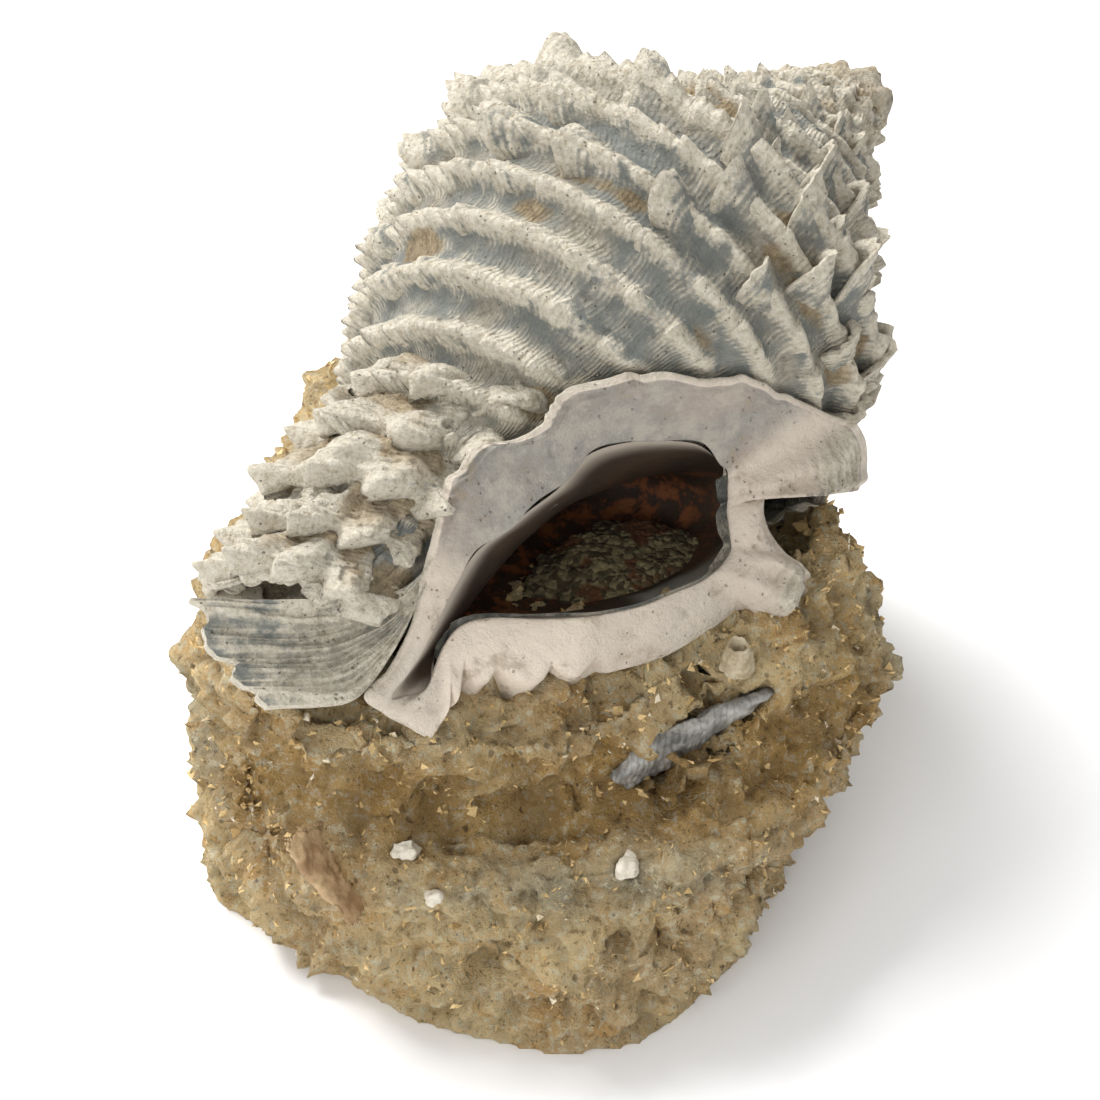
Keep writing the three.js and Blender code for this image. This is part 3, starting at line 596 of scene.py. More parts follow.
inner_roll = np.array(
    [neck_line[-1] + (edge - neck_line[-1]) * (0.98 - 0.05 * k) + (0, 0, 0.75 * k) for k in range(14)]
)
front_end.add(inner_roll, np.linspace(0.5, 0, 14)[:, None], 0, 0.8, wrap=True)

CANAL_TOP = ((2.8, 9.5, -44.3), (2.6, 6.5, -49.4), (-1.7, 4, -54.2), (-7.1, 2, -58.9), (-11.8, 1, -63))
CANAL_BOTTOM = (
    (3.0, 8.4, -44.9), (5.4, 5.2, -50.6), (6.6, 2.2, -54.8),
    (6.8, 0.2, -58.4), (5.0, -0.6, -61.0), (1.3, -1, -64.7),
)
canal_upper = smooth_loop(CANAL_TOP, CANAL_GRID, closed=False)
canal_lower = smooth_loop(CANAL_BOTTOM, CANAL_GRID, closed=False)
along, across = np.meshgrid(np.linspace(0, 1, CANAL_GRID), np.linspace(0, 1, CANAL_GRID), indexing="ij")
gutter = canal_upper[:, None] * (1 - across[..., None]) + canal_lower[:, None] * across[..., None]
wander = 0.5 * noise(gutter, 9, 51)
spacing = across + 0.018 * np.sin(23 * across) + 0.02 * np.sin(9 * across + 1)
ribs = (
    ridge(12 * spacing + wander) ** 1.4 * (0.75 + 0.25 * np.sin(17 * across)) + 0.3
    * ridge(31 * spacing + wander)
)
folds = ridge(4 * across + 0.3 + wander)
dip = -2.8 * np.sin(np.pi * across**0.75) * (0.3 + 0.7 * along)
fray = blend(along, 0.8, 1.0) * noise(np.stack([across * 26, across * 0, across * 0], axis=-1), 2, 52)
lift = dip + (0.26 * ribs + 1.0 * folds * along) * blend(along, 0.02, 0.25) + 0.15 * rough(gutter, 1.5, 2, 53)
gutter = gutter + np.array((0, 1, 0)) * lift[..., None]
gutter = gutter + np.array((-0.9, 0, -0.9)) * fray[..., None]
under = gutter - np.array((0, 1, 0)) * (1.5 + 0.5 * rough(gutter, 3, 2, 54))[..., None]
front_end.add(
    gutter, np.clip(0.3 + 0.22 * ribs + 0.25 * noise(gutter, 4, 56), 0, 1), 0.25,
    0.6 * blend(noise(gutter, 5, 55), -0.1, 0.5) * (1 - across)
)
front_end.add(under[::-1], 0.5, 0, 0.4)
for near, far in (
    (gutter[-1], under[-1]), (under[0], gutter[0]), (under[:, -1], gutter[:, -1]), (gutter[:, 0], under[:, 0])
):
    front_end.add(np.stack([near, near * 0.5 + far * 0.5, far]), 0.9, 0, 0.2)

for k in range(COLLAR_COUNT):
    for turn_at in np.arange(0.35, 3.6, 0.5):
        row = int((k + 0.8) / COLLAR_COUNT * (NECK_ROWS - 1))
        column = int(
            ((turn_at + 0.2 * (k % 2) + dice.uniform(-0.09, 0.09)) / (2 * np.pi)) * NECK_AROUND
        ) % NECK_AROUND
        foot = neck[row, column]
        out = np.array((radial[row, column][0], radial[row, column][1], 0.0))
        if not outside_hollow((foot + out * 2)[None])[0] or k > 1 or dice.uniform() < 0.55:
            continue
        ahead = np.array((-0.35, 0, -1.0)) + 0.1 * out
        ahead /= np.linalg.norm(ahead)
        out = out - ahead * out.dot(ahead)
        out /= np.linalg.norm(out)
        grand = dice.uniform(0.6, 1.1)
        hood(
            foot - out * 0.9, out, ahead, 4.6 * grand, 2.3 * grand, 2.0 * grand, 1.2, dice.uniform(-0.4, 0.4),
            0.7, 0.7
        )

frills = scales.build("shell_scales")
neck_piece = front_end.build("shell_neck")


# ---------------------------------------------------------------------------------------------
# The rim: the thick polished lip that the grown snail built right round its mouth, with a blunt
# finger at the shoulder and another below it, and a crimped lower edge.

rim = Skin()
FINGERS = (17.0, 25.2)
CRIMPED = (31.3, 35.6)
inner = smooth_loop(RIM_INNER, AROUND)
outer = smooth_loop(RIM_OUTER, AROUND)
station = np.linspace(0, len(RIM_INNER), AROUND, endpoint=False)
crimp_zone = blend(station, CRIMPED[0] - 0.6, CRIMPED[0] + 0.3) * (
    1 - blend(station, CRIMPED[1] - 0.5, CRIMPED[1] + 0.3)
)
crimp = 2 * np.abs(np.cos((station - CRIMPED[0] - 0.2) * np.pi / 1.02)) ** 0.55 - 1
away = outer - inner
reach = np.linalg.norm(away, axis=1, keepdims=True)
away /= reach
outer = outer + away * (crimp_zone * (0.1 + 0.95 * crimp))[:, None]
parietal = blend(station, 3, 4.5) * (1 - blend(station, 13.5, 15))
outer = outer + away * (parietal * (0.5 * noise(outer, 3.5, 61) + 0.25 * noise(outer, 1.2, 65)))[:, None]
inner = inner + away * (parietal * 0.35 * np.sin(station * 2.2))[:, None]
facing = np.cross(np.gradient(inner, axis=0), away)
facing /= np.linalg.norm(facing, axis=1, keepdims=True)
facing *= np.sign(facing[:, 1:2])
facing = sum(np.roll(facing, shift, axis=0) for shift in range(-14, 15))
facing /= np.linalg.norm(facing, axis=1, keepdims=True)
finger = sum(np.exp(-(((station - at) / 1.5) ** 4)) for at in FINGERS)
band = np.exp(-(((station - 21.3) / 2.2) ** 4))
v = np.linspace(0, 1, 40)[None, :]
across_line = inner[:, None] * (1 - v[..., None]) + outer[:, None] * v[..., None]
swell = (
    0.45 + 2.0 * finger + 1.0 * band + 0.7 * crimp_zone - 0.25 * parietal
)[:, None] * np.sin(np.pi * v) ** 0.75
turn_down = (3.4 * crimp_zone + 2.6 * finger + 0.8 * band)[:, None] * blend(v, 0.6, 1.0) ** 1.6
fold = (crimp_zone * crimp)[:, None] * blend(v, 0.4, 0.95) * 1.1
finger_ribs = finger[:, None] * blend(v, 0.4, 0.6) * 0.75 * ridge(
    reach * v / 1.3 + 0.2 * noise(across_line, 4, 66)
)
groove = sum(
    np.exp(-(((station - at + 0.1) / 0.55) ** 2)) for at in FINGERS
)[:, None] * blend(v, 0.2, 0.5) * 1.2
edge_lines = parietal[:, None] * blend(v, 0.82, 0.9) * 0.3 * ridge(reach * v / 0.8)
lip_pores = 0.8 * pits(across_line, 1.5, 64) * (band + 0.12 * finger)[:, None] * (1 - blend(v, 0.6, 0.9))
height = swell - turn_down + fold + finger_ribs + edge_lines - groove
height += (finger[:, None] * blend(v, 0.3, 0.8)) * 0.7 * rough(across_line, 3.2, 2, 67)
height += 0.16 * rough(across_line, 4, 3, 62) - 0.25 * pits(across_line, 2.3, 63) * (v > 0.08) - lip_pores
front = across_line + facing[:, None] * height[..., None]
thick = (1.3 + 2.2 * finger + 1.4 * band + 1.0 * crimp_zone)[:, None]
lead = np.linspace(1, 0, 8)[None, :-1]
mouth_roll = (
    inner[:, None] - facing[:, None] * (0.9 * lead)[..., None] + away[:, None] * (0.55 * lead**2)[..., None]
)
w = np.linspace(0, 1, 16)[None, 1:]
bulge = np.sin(np.pi * w)
outer_roll = (
    front[:, -1:] + away[:, None] * (bulge * thick * 0.5)[..., None] - facing[:, None]
    * (thick * w)[..., None]
)
rear = inner[:, None] - facing[:, None] * (thick * 0.9)[..., None] - outer_roll[:, -1:]
back = outer_roll[:, -1:] + rear * np.linspace(0, 1, 12)[None, 1:, None]
sheet = np.concatenate([mouth_roll, front, outer_roll, back], axis=1)
columns = sheet.shape[1]
polish = np.concatenate(
    [np.ones(47), np.linspace(0.8, 0.2, 15), np.zeros(11)]
)[None, :] * np.ones((AROUND, 1))
# Painted light and shade on the rim: the relief value is raised on the crimped lower lip to paint it lighter,
# and lowered on the parietal side, the outer roll and the back to paint them darker.
lip_light_and_shade = np.full((AROUND, columns), 0.7) - 0.5 * parietal[:, None] + 0.3 * crimp_zone[:, None]
lip_light_and_shade[:, 47:62] = np.linspace(0.8, 0.45, 15)
lip_light_and_shade[:, 62:] = 0.3
pore_mark = np.zeros((AROUND, columns))
pore_mark[:, 7:47] = np.clip(0.6 * pits(across_line, 2.3, 63) + 1.6 * lip_pores, 0, 1)
outer_finger = finger[:, None] * blend(v, 0.35, 0.8)
polish[:, 7:47] *= 1 - 0.65 * outer_finger
pore_mark[:, 7:47] += 0.5 * outer_finger * (0.6 + noise(across_line, 3, 68))
looped = [np.concatenate([part, part[:1]]) for part in (sheet, lip_light_and_shade, polish, pore_mark)]
rim.add(*looped)
lip = rim.build("shell_rim")

inside = Skin()
depth = np.linspace(0, 1, len(cavity))[:, None] * np.ones((1, RING_POINTS))
hollow_wall = (
    cavity + 0.25 * rough(cavity, 3, 3, 71)[..., None] * (depth > 0.04)[..., None] * np.array((0.6, 0.6, 0.2))
)
# Painted shade and stain: the wall is painted dark from a little way in, and almost from the edge on the side
# away from the lip, where the wall lies in shade.
lip_side = blend(hollow_wall[..., 0], 17, 24) * blend(hollow_wall[..., 2], -34, -26)
stain_and_shade = np.maximum(blend(depth, 0.03, 0.2), (1 - lip_side) * blend(depth, 0.0, 0.03))
inside.add(hollow_wall[:, ::-1], stain_and_shade[:, ::-1], 0, depth[:, ::-1], wrap=True)
chamber = inside.build("shell_inside")


# ---------------------------------------------------------------------------------------------
# Chalky fossil shell: cream on the ridges and blue grey in the hollows, where the blue grey is painted
# shade, with sand lying low down. Round the mouth it is smoother and faintly pink, with painted light
# and shade on the lip; far inside it is rust brown and darkened with painted shade.


def srgb(*values):
    """A colour given as the eye sees it, 0 to 255, as a linear colour."""
    return [*[((v / 255 + 0.055) / 1.055) ** 2.4 if v > 10 else v / 3294 for v in values], 1.0]


class Nodes:
    """A short way to add and join shader nodes."""

    def __init__(self, tree):
        self.tree = tree

    def add(self, kind, inputs=None, **settings):
        node = self.tree.nodes.new(kind)
        for key, value in settings.items():
            setattr(node, key, value)
        for key, value in (inputs or {}).items():
            self.set(node.inputs[key], value)
        return node

    def set(self, socket, value):
        if isinstance(value, bpy.types.NodeSocket):
            self.tree.links.new(value, socket)
        else:
            socket.default_value = value

    def math(self, operation, a, b=0.0, c=0.0, clamp=False):
        node = self.add("ShaderNodeMath", operation=operation, use_clamp=clamp)
        for socket, value in zip(node.inputs, (a, b, c)):
            self.set(socket, value)
        return node.outputs[0]

    def mix(self, share, a, b):
        node = self.add("ShaderNodeMix", data_type="RGBA")
        self.set(node.inputs[0], share)
        self.set(node.inputs[6], a)
        self.set(node.inputs[7], b)
        return node.outputs[2]

    def noise(self, where, scale, detail=4.0, roughness=0.6):
        return self.add(
            "ShaderNodeTexNoise", {"Vector": where, "Scale": scale, "Detail": detail, "Roughness": roughness}
        ).outputs["Fac"]

    def range(self, value, low, high, to_low=0.0, to_high=1.0):
        node = self.add(
            "ShaderNodeMapRange",
            {"Value": value, "From Min": low, "From Max": high, "To Min": to_low, "To Max": to_high}
        )
        node.interpolation_type = "SMOOTHSTEP"
        return node.outputs[0]

    def attribute(self, name):
        return self.add("ShaderNodeAttribute", attribute_name=name).outputs["Fac"]


def node_group(name, inputs, outputs):
    """An empty shader group with named sockets, and its input and output nodes."""
    group = bpy.data.node_groups.new(name, "ShaderNodeTree")
    for label, kind, default in inputs:
        socket = group.interface.new_socket(label, in_out="INPUT", socket_type=kind)
        if default is not None:
            socket.default_value = default
    for label, kind in outputs:
        group.interface.new_socket(label, in_out="OUTPUT", socket_type=kind)
    nodes = Nodes(group)
    return group, nodes, nodes.add("NodeGroupInput").outputs, nodes.add("NodeGroupOutput").inputs


def use_group(nodes, group, inputs):
    """A shader group put to use in a material, and its outputs."""
    return nodes.add("ShaderNodeGroup", inputs, node_tree=group).outputs


# Pinholes: small round pores of many sizes, as a mask and as a height. The mask paints shade dark in the
# pores.
pinholes, g, given, made = node_group(
    "pinholes",
    [
        ("Where", "NodeSocketVector", None), ("Scale", "NodeSocketFloat", 1000.0),
        ("Share", "NodeSocketFloat", 0.4)
    ],
    [("Mask", "NodeSocketFloat"), ("Height", "NodeSocketFloat")],
)
wander = g.add(
    "ShaderNodeTexNoise", {"Vector": given["Where"], "Scale": 900.0, "Detail": 2.0}
).outputs["Color"]
moved = g.add(
    "ShaderNodeVectorMath", {0: wander, 1: (0.0007, 0.0007, 0.0007)}, operation="MULTIPLY"
).outputs[0]
shifted = g.add("ShaderNodeVectorMath", {0: given["Where"], 1: moved}, operation="ADD").outputs[0]
cell = g.add("ShaderNodeTexVoronoi", {"Vector": shifted, "Scale": given["Scale"]})
chosen = g.add("ShaderNodeSeparateColor", {"Color": cell.outputs["Color"]}).outputs[0]
some = g.math("LESS_THAN", chosen, given["Share"])
reach = g.range(cell.outputs["Distance"], 0.16, 0.34, 1.0, 0.0)
hole = g.math("MULTIPLY", some, reach)
g.set(made["Mask"], hole)
g.set(made["Height"], g.math("MULTIPLY", hole, -1.0))

# Grain: fine rough texture at two sizes, as a height from 0 to 1.
grain, g, given, made = node_group(
    "grain",
    [("Where", "NodeSocketVector", None), ("Scale", "NodeSocketFloat", 800.0)],
    [("Height", "NodeSocketFloat")],
)
coarse = g.noise(given["Where"], given["Scale"], 6.0, 0.7)
fine = g.noise(given["Where"], g.math("MULTIPLY", given["Scale"], 4.3), 4.0, 0.7)
g.set(made["Height"], g.math("ADD", g.math("MULTIPLY", coarse, 0.65), g.math("MULTIPLY", fine, 0.35)))


def new_material(name):
    material = bpy.data.materials.new(name)
    material.use_nodes = True
    nodes = Nodes(material.node_tree)
    shader = material.node_tree.nodes["Principled BSDF"]
    where = nodes.add("ShaderNodeTexCoord").outputs["Object"]
    return material, nodes, shader, where


def shell_material():
    material, nodes, shader, where = new_material("chalky shell")
    relief, polish, dirt = nodes.attribute("relief"), nodes.attribute("smooth"), nodes.attribute("dirt")
    broad = nodes.noise(where, 60.0, 3.0)
    medium = nodes.noise(where, 300.0, 6.0, 0.7)
    fine = nodes.noise(where, 1400.0, 5.0, 0.7)
    drift = nodes.math("MULTIPLY", nodes.noise(where, 160.0, 3.0), 1.6)
    turns = nodes.math("ADD", nodes.math("MULTIPLY", nodes.attribute("growth"), 1 / 0.62), drift)
    lines = nodes.math(
        "MULTIPLY_ADD", nodes.math("SINE", nodes.math("MULTIPLY", turns, 2 * math.pi)), 0.5, 0.5
    )
    lines = nodes.math("MULTIPLY", lines, nodes.range(medium, 0.3, 0.6))
    # Painted shade: where the relief is low, between the cords, in pits, on the hoods and in the neck's gaps,
    # the shell is painted a darker blue grey instead of cream.
    blue = nodes.mix(nodes.range(medium, 0.35, 0.65), srgb(130, 134, 129), srgb(162, 160, 149))
    grey = nodes.mix(nodes.range(fine, 0.35, 0.65), srgb(152, 146, 130), srgb(188, 180, 163))
    shaded_hollow_tone = nodes.mix(nodes.range(broad, 0.45, 0.58), blue, grey)
    cream = nodes.mix(nodes.range(fine, 0.32, 0.62), srgb(204, 193, 170), srgb(234, 226, 208))
    height = nodes.math("ADD", relief, nodes.math("MULTIPLY", nodes.math("SUBTRACT", medium, 0.5), 1.3))
    height = nodes.math("ADD", height, nodes.math("MULTIPLY", nodes.math("SUBTRACT", lines, 0.4), 0.22))
    colour = nodes.mix(nodes.range(height, 0.08, 0.5), shaded_hollow_tone, cream)
    sand = nodes.mix(nodes.range(fine, 0.35, 0.65), srgb(132, 106, 66), srgb(178, 154, 110))
    sandy = nodes.math("ADD", dirt, nodes.math("MULTIPLY", nodes.math("SUBTRACT", medium, 0.5), 1.6))
    # Sand colour where dirt is high and relief low; on the neck it also paints shade in the gaps between
    # collars.
    sand_and_shade = nodes.math("MULTIPLY", nodes.range(sandy, 0.45, 0.95), nodes.range(relief, 1.0, 0.3))
    colour = nodes.mix(nodes.math("MULTIPLY", sand_and_shade, 0.72), colour, sand)
    lip_tone = nodes.mix(nodes.range(broad, 0.42, 0.56), srgb(160, 147, 137), srgb(142, 139, 132))
    lip_tone = nodes.mix(nodes.range(medium, 0.36, 0.6, 0.6, 0.0), lip_tone, srgb(186, 177, 162))
    # Painted highlight: the lip is painted pale where the rim's light value is high, and keeps the darker
    # tones where it is low.
    lip_tone = nodes.mix(nodes.range(relief, 0.3, 1.0), lip_tone, srgb(226, 212, 194))
    lip_tone = nodes.mix(nodes.range(medium, 0.54, 0.68, 0.0, 0.6), lip_tone, srgb(158, 142, 118))
    colour = nodes.mix(nodes.range(polish, 0.35, 0.85), colour, lip_tone)
    holes = use_group(
        nodes, pinholes,
        {"Where": where, "Scale": 2100.0, "Share": nodes.range(medium, 0.45, 0.65, 0.0, 0.22)}
    )
    # Painted shade: the pores are painted dark brown, less on the polished lip.
    colour = nodes.mix(
        nodes.math("MULTIPLY", holes["Mask"], nodes.range(polish, 1.0, 0.0, 0.3, 0.7)), colour,
        srgb(84, 66, 46)
    )
    pitted = nodes.math("MULTIPLY", nodes.range(fine, 0.4, 0.3), nodes.range(polish, 1.0, 0.0, 0.1, 0.42))
    colour = nodes.mix(pitted, colour, srgb(104, 86, 62))
    nodes.set(shader.inputs["Base Color"], colour)
    nodes.set(shader.inputs["Roughness"], nodes.range(polish, 0.0, 1.0, 0.9, 0.66))
    texture = use_group(nodes, grain, {"Where": where, "Scale": 700.0})["Height"]
    amount = nodes.range(polish, 0.2, 0.9, 1.0, 0.42)
    total = nodes.math("ADD", nodes.math("MULTIPLY", texture, 1.1), nodes.math("MULTIPLY", medium, 0.9))
    total = nodes.math("MULTIPLY", nodes.math("MULTIPLY_ADD", lines, 0.16, total), amount)
    total = nodes.math("MULTIPLY_ADD", holes["Height"], 0.35, total)
    bump = nodes.add("ShaderNodeBump", {"Height": total, "Strength": 1.0, "Distance": 0.0013})
    nodes.set(shader.inputs["Normal"], bump.outputs[0])
    return material


def inside_material():
    material, nodes, shader, where = new_material("stained shell inside")
    stain_and_shade, depth = nodes.attribute("relief"), nodes.attribute("dirt")
    cloud = nodes.noise(where, 120.0, 5.0, 0.6)
    spots = nodes.noise(where, 420.0, 5.0, 0.7)
    clean = nodes.mix(nodes.range(cloud, 0.4, 0.6), srgb(142, 146, 138), srgb(150, 144, 132))
    brown = nodes.mix(nodes.range(cloud, 0.35, 0.65), srgb(50, 36, 26), srgb(70, 54, 40))
    rust = nodes.mix(nodes.range(spots, 0.35, 0.7), srgb(140, 66, 30), srgb(132, 84, 46))
    uneven = nodes.math("MULTIPLY", nodes.math("SUBTRACT", cloud, 0.5), 0.5)
    # Painted shade and stain: this mask turns the wall dark brown.
    colour = nodes.mix(nodes.range(nodes.math("ADD", stain_and_shade, uneven), 0.3, 0.8), clean, brown)
    patch = nodes.math(
        "MULTIPLY", nodes.range(nodes.math("ADD", depth, uneven), 0.12, 0.3), nodes.range(spots, 0.46, 0.6)
    )
    colour = nodes.mix(patch, colour, rust)
    colour = nodes.mix(nodes.range(depth, 0.0, 0.045, 1.0, 0.0), colour, srgb(176, 164, 150))
    nodes.set(shader.inputs["Base Color"], colour)
    nodes.set(shader.inputs["Roughness"], 0.6)
    texture = use_group(nodes, grain, {"Where": where, "Scale": 500.0})["Height"]
    bump = nodes.add("ShaderNodeBump", {"Height": texture, "Strength": 0.5, "Distance": 0.0006})
    nodes.set(shader.inputs["Normal"], bump.outputs[0])
    return material


chalky = shell_material()
for piece in (coil, frills, neck_piece, lip):
    piece.data.materials.append(chalky)
chamber.data.materials.append(inside_material())
for piece in (coil, frills, neck_piece, lip, chamber):
    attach(piece, "root")
    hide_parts("murex_shell")


# ---------------------------------------------------------------------------------------------
# The rock: a loose block of sandy shell limestone, broken out with the fossil and left rough.
# Its face is grainy and full of small pores where bits of shell have dissolved away.


def copy_of(node, name):
    """A new object with a copy of a frame node's own mesh, in the row frame."""
    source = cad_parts[node]
    mesh = source.data.copy()
    mesh.transform(source.matrix_world)
    mesh.materials.clear()
    return new_piece(name, mesh)


def remesh(piece, voxel):
    modifier = piece.modifiers.new("remesh", "REMESH")
    modifier.mode = "VOXEL"
    modifier.voxel_size = voxel
    depsgraph = bpy.context.evaluated_depsgraph_get()
    mesh = bpy.data.meshes.new_from_object(piece.evaluated_get(depsgraph))
    piece.modifiers.clear()
    piece.data = mesh
    mesh.shade_smooth()


def mesh_arrays(mesh):
    """A mesh's points and normals in millimetres."""
    count = len(mesh.vertices)
    points, normals = np.empty(count * 3), np.empty(count * 3)
    mesh.vertices.foreach_get("co", points)
    mesh.vertices.foreach_get("normal", normals)
    return points.reshape(-1, 3) / MM, normals.reshape(-1, 3)


def paint(mesh, name, values):
    layer = mesh.attributes.new(name, "FLOAT", "POINT")
    layer.data.foreach_set("value", np.clip(values, 0, 1).astype(np.float32))


def lump(mesh_into, centre, radii, seed):
    """Adds a rough round lump to a bmesh, to be fused in by the remesh."""
    made = bmesh.ops.create_icosphere(mesh_into, subdivisions=3, radius=1.0)
    for vertex in made["verts"]:
        wobble = 1 + 0.25 * math.sin(3 * vertex.co.x + seed) * math.cos(4 * vertex.co.y + 2 * seed)
        vertex.co = Vector([c + r * v * wobble for c, r, v in zip(centre, radii, vertex.co)])


rock = copy_of("matrix_block", "rock")
builder = bmesh.new()
builder.from_mesh(rock.data)
for along_lip, radii, seed in (
    ((27, -1.2, -27), (4.5, 3.6, 3.2), 1),
    ((26.5, -2, -33), (5, 3.4, 3.4), 2),
    ((31, -2, -22), (4, 3.4, 3.4), 3),
    ((30, -4.5, -38), (5, 4.2, 4), 4), ((34, -6, -30), (5, 5, 5), 5),
):
    lump(builder, on_shell(*map(np.array, along_lip)) * MM, np.array(radii) * MM, seed)
builder.to_mesh(rock.data)
builder.free()
remesh(rock, 0.68 * MM)
points, normals = mesh_arrays(rock.data)
free = blend(points[:, 2], 0.1, 2)
pocket = pits(points, 7.5, 85)

# A valley runs between the brow under the shell and the bright outer edge of the ledge.
VALLEY = np.array(((-34, -30.5), (-18, -32), (0, -31), (12, -29.5), (21, -28.5), (34, -16.5)))
nearest = np.full(len(points), 99.0)
for start, end in zip(VALLEY[:-1], VALLEY[1:]):
    way = end - start
    share = np.clip((points[:, :2] - start) @ way / (way @ way), 0, 1)
    nearest = np.minimum(nearest, np.linalg.norm(points[:, :2] - start - share[:, None] * way, axis=1))
ledge = blend(points[:, 2], 17, 21) * (1 - blend(points[:, 2], 30, 34))
valley = ledge * np.exp(-((nearest / 4.0) ** 2))
crest = ledge * np.exp(-(((nearest - 8.5) / 3.0) ** 2))
crests = 1 - np.abs(rough(points, 7, 3, 86))
crumbs = rough(points, 2.8, 3, 82)
grains = pits(points, 2.6, 88) + 0.7 * pits(points, 1.6, 89)
broken = np.round(2.2 * rough(points, 8, 2, 90)) / 2.2
sharp = 1 - 2 * np.abs(noise(points, 2.6, 94)) + 0.8 * (1 - 2 * np.abs(noise(points, 1.5, 95)))
height = 1.8 * rough(points, 17, 2, 81) + 2.2 * (crests - 0.65) + 1.0 * crumbs + 0.7 * grains + 1.3 * broken
height += 0.85 * sharp + 1.0 * crest - 0.6 * valley
height -= 1.0 * pits(points, 3.4, 84) + 0.5 * pocket + 1.0 * pits(points, 1.9, 87) + 1.4

# The sand lies snug against the bits of shell bedded in it.
BEDDED = ("nacre_shard", "tan_shell_edge", "white_chip_1", "white_chip_2", "white_chip_3")
beside = np.full(len(points), 99.0)
for node in BEDDED:
    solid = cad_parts[node]
    for vertex in solid.data.vertices:
        corner = np.array(solid.matrix_world @ vertex.co) / MM
        beside = np.minimum(beside, np.linalg.norm(points - corner, axis=1))
calm = blend(beside, 0.5, 4.5)
height = np.where(height < 0, height * calm, height * (0.35 + 0.65 * calm))
points += normals * (height * free)[:, None]
points[:, 2] = np.maximum(points[:, 2], 0)
rock.data.vertices.foreach_set("co", (points * MM).reshape(-1))
# Painted light and shade: relief is high on crumbs, grains and the crest of the ledge, and low in the valley;
# the rock is painted paler where it is high and darker where it is low.
paint(
    rock.data, "relief",
    0.42 + 0.3 * crumbs + 0.3 * grains + 0.2 * (crests - 0.65) - 0.3 * valley + 0.35 * crest
)
paint(rock.data, "ochre", ledge * np.exp(-((nearest / 5.5) ** 2)))
paint(rock.data, "grey", ledge * np.exp(-(((nearest - 9.5) / 3.0) ** 2)))
# Painted shade in pits and pockets: this mask paints them darker brown.
paint(rock.data, "hollow_shade", np.maximum(pits(points, 3.1, 84), pocket))
rock.data.shade_smooth()


def rock_material():
    material, nodes, shader, where = new_material("sandy shell limestone")
    relief, hollow_shade = nodes.attribute("relief"), nodes.attribute("hollow_shade")
    broad = nodes.noise(where, 45.0, 4.0)
    patch = nodes.noise(where, 150.0, 6.0, 0.7)
    speck = nodes.noise(where, 900.0, 6.0, 0.75)
    colour = nodes.mix(nodes.range(broad, 0.42, 0.58), srgb(255, 226, 168), srgb(238, 206, 152))
    colour = nodes.mix(nodes.range(patch, 0.5, 0.66, 0.0, 0.7), colour, srgb(228, 176, 98))
    colour = nodes.mix(nodes.range(patch, 0.46, 0.32, 0.0, 0.7), colour, srgb(196, 174, 134))
    ochre = nodes.math("MULTIPLY", nodes.attribute("ochre"), nodes.range(patch, 0.35, 0.6, 0.3, 0.9))
    colour = nodes.mix(ochre, colour, srgb(222, 178, 102))
    ashy = nodes.math("MULTIPLY", nodes.attribute("grey"), nodes.range(patch, 0.65, 0.4, 0.1, 0.8))
    colour = nodes.mix(ashy, colour, srgb(166, 158, 134))
    colour = nodes.mix(nodes.range(speck, 0.52, 0.6, 0.0, 0.75), colour, srgb(255, 244, 210))
    colour = nodes.mix(nodes.range(speck, 0.45, 0.37, 0.0, 0.55), colour, srgb(146, 112, 62))
    # Painted shade: pits and pockets are painted darker brown.
    colour = nodes.mix(
        nodes.math("MULTIPLY", nodes.range(hollow_shade, 0.3, 1.0), 0.35), colour, srgb(140, 108, 62)
    )
    # Painted highlight on raised parts and painted shade on low parts, by the relief value.
    colour = nodes.mix(nodes.range(relief, 0.6, 1.0, 0.0, 0.5), colour, srgb(240, 222, 178))
    colour = nodes.mix(nodes.range(relief, 0.42, 0.05, 0.0, 0.5), colour, srgb(156, 120, 66))
    holes = use_group(nodes, pinholes, {"Where": where, "Scale": 700.0, "Share": 0.06})
    finer = use_group(nodes, pinholes, {"Where": where, "Scale": 1700.0, "Share": 0.2})
    # Painted shade: the pores are painted dark brown.
    dark = nodes.math("MAXIMUM", holes["Mask"], nodes.math("MULTIPLY", finer["Mask"], 0.7))
    colour = nodes.mix(nodes.math("MULTIPLY", dark, 0.6), colour, srgb(88, 66, 38))
    nodes.set(shader.inputs["Base Color"], colour)
    nodes.set(shader.inputs["Roughness"], 0.95)
    texture = use_group(nodes, grain, {"Where": where, "Scale": 620.0})["Height"]
    clods = nodes.noise(where, 380.0, 7.0, 0.78)
    total = nodes.math("ADD", nodes.math("MULTIPLY", texture, 1.6), nodes.math("MULTIPLY", clods, 2.4))
    total = nodes.math("ADD", total, nodes.math("MULTIPLY", dark, -0.7))
    bump = nodes.add("ShaderNodeBump", {"Height": total, "Strength": 1.0, "Distance": 0.0016})
    nodes.set(shader.inputs["Normal"], bump.outputs[0])
    return material


rock.data.materials.append(rock_material())
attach(rock, "root")
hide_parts("matrix_block")


# ---------------------------------------------------------------------------------------------
# Crumbs of shell standing out of the sand all over the rock: thin broken bits, each lying its own
# way and bedded by more than half. Most are the colour of the sand and a few are clean and pale.

